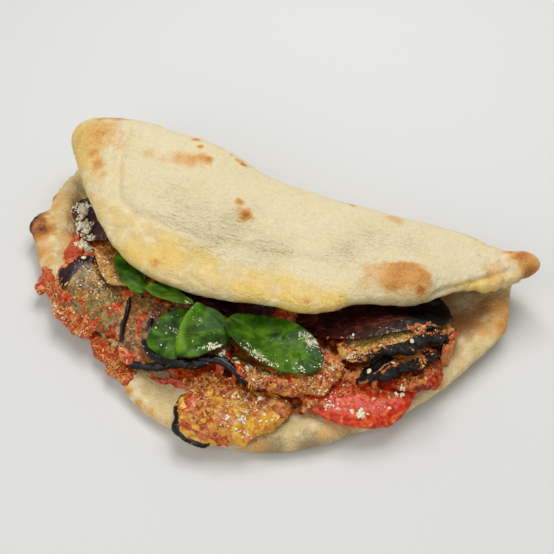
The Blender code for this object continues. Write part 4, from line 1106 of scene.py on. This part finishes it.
# The same cheese where it soaked up sauce and browned: orange tan crumbs among the slices, and
# shreds of it in the sauce that runs over the left rim.
STAINED = (
    (-66, -50, 20, 8, -28, 200, 0.3, 0.8), (-56, -44, 12, 10, 80, 90, 0.25, 0.7),
    (-82, -8, 16, 8, -45, 90, 0.3, 0.7), (-14, -62, 12, 9, 60, 220, 0.3, 0.9),
    (0, -62, 20, 6, 15, 130, 0.3, 0.9), (14, -54, 24, 9, 14, 120, 0.3, 0.8),
    (36, -42, 12, 10, 40, 260, 0.3, 0.9), (54, -28, 28, 10, 42, 220, 0.3, 0.8),
    (74, -10, 14, 8, 45, 260, 0.3, 0.9), (-8, -78, 14, 6, 5, 120, 0.3, 0.9),
    (46, -46, 16, 4, 15, 60, 0.3, 0.8), (68, -34, 12, 4, 50, 160, 0.3, 0.9),
)
SHREDS = ((-98, -36, 16, 6, -38, 120, 0.3, 0.55), (-76, -54, 26, 7, -30, 260, 0.3, 0.6),
          (-54, -64, 12, 5, -28, 90, 0.3, 0.55), (-16, -64, 9, 7, 70, 110, 0.3, 0.6),
          (-2, -60, 14, 6, 10, 90, 0.3, 0.6))
OILED = ((-77, -28, 14, 11, -35, 330, 0.25, 0.62), (-66, -38, 10, 8, -35, 70, 0.25, 0.6),
         (56, -18, 22, 5, 42, 150, 0.25, 0.6), (6, -66, 14, 10, 60, 120, 0.3, 0.8),
         (20, -54, 22, 8, 14, 110, 0.25, 0.7), (36, -42, 12, 9, 40, 130, 0.3, 0.8))
# Cheese soaked in sauce and oil: moist, from rust brown through orange to a pale tan, each crumb
# or shred with a tone of its own.
SOAKED_CRUMB = ((0.0, "#7C2E0A"), (0.3, "#AC5418"), (0.6, "#C67E30"), (1.0, "#E0B470"))
stained, tree, shader = wet_food("cheese_crumbs_soaked_in_sauce", 0.4, 0.2, 0.1, 0.6)
tone = add(tree, "Attribute", attribute_name="tone").outputs["Fac"]
colour = add(tree, "ValToRGB", {"Fac": tone}, SOAKED_CRUMB)
fill(shader, {"Base Color": colour.outputs["Color"]})
all_beds = ground_of(slices + [sauce, red, roasted, pooled])
ham_under_lid = hams[:2]
stays_clean = ground_of(ham_under_lid + leaves)
for name, places, seed, stretch, palest in (("sauce_stained_crumbs", STAINED, 17, 1.0, 0.0),
                                            ("shreds_in_the_sauce", SHREDS, 19, 3.4, 0.5),
                                            ("oil_soaked_crumbs", OILED, 23, 1.0, 0.8)):
    soaked_crumbs = sprinkle(name, all_beds, stays_clean, places, seed, stretch, palest)
    soaked_crumbs.data.materials.append(stained)
    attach(soaked_crumbs, "root")

# Studio
# A plain pale floor and three soft lights: a broad key above and behind the bread, a broad fill
# from the camera's side, and a small window behind at the left that puts glints on wet food. The
# camera stands where the photograph's did, in front, above and to the right.

bpy.ops.object.select_all(action="DESELECT")
bpy.ops.mesh.primitive_plane_add(size=12, location=(0, 0, 0))
floor = bpy.context.object
floor.name = "studio_floor"
# Matt painted board: pale grey and even, with hardly any reflection of the food.
pale_floor, tree, shader = new_material("matt_pale_floor")
fill(shader, {"Base Color": linear("#D5D5D2"), "Roughness": 0.9})
floor.data.materials.append(pale_floor)

# name, place and size in metres, and power in watts
LIGHTS = (("key", (0.05, 0.31, 0.85), 0.58, 4.2), ("fill", (-0.20, -0.72, 0.58), 0.8, 3.6),
          ("window", (-0.16, 0.40, 0.60), 0.16, 0.9))
for name, place, size, power in LIGHTS:
    lamp = bpy.data.lights.new(name, "AREA")
    lamp.size = size
    lamp.energy = power
    holder = bpy.data.objects.new(name, lamp)
    bpy.context.scene.collection.objects.link(holder)
    holder.location = place
    holder.rotation_euler = (-Vector(place)).to_track_quat("-Z", "Y").to_euler()

world = bpy.data.worlds.new("soft_room")
world.use_nodes = True
air = world.node_tree.nodes["Background"]
fill(air, {"Color": (1, 1, 1, 1), "Strength": 0.38})
bpy.context.scene.world = world
bpy.context.scene.view_settings.view_transform = "Standard"

eye = bpy.data.cameras.new("photograph_view")
eye.lens, eye.sensor_width = 60, 36
camera = bpy.data.objects.new("photograph_view", eye)
bpy.context.scene.collection.objects.link(camera)
camera.location = (0.09266, -0.26505, 0.32135)
camera.rotation_euler = (math.radians(43), 0, math.radians(20))
bpy.context.scene.camera = camera
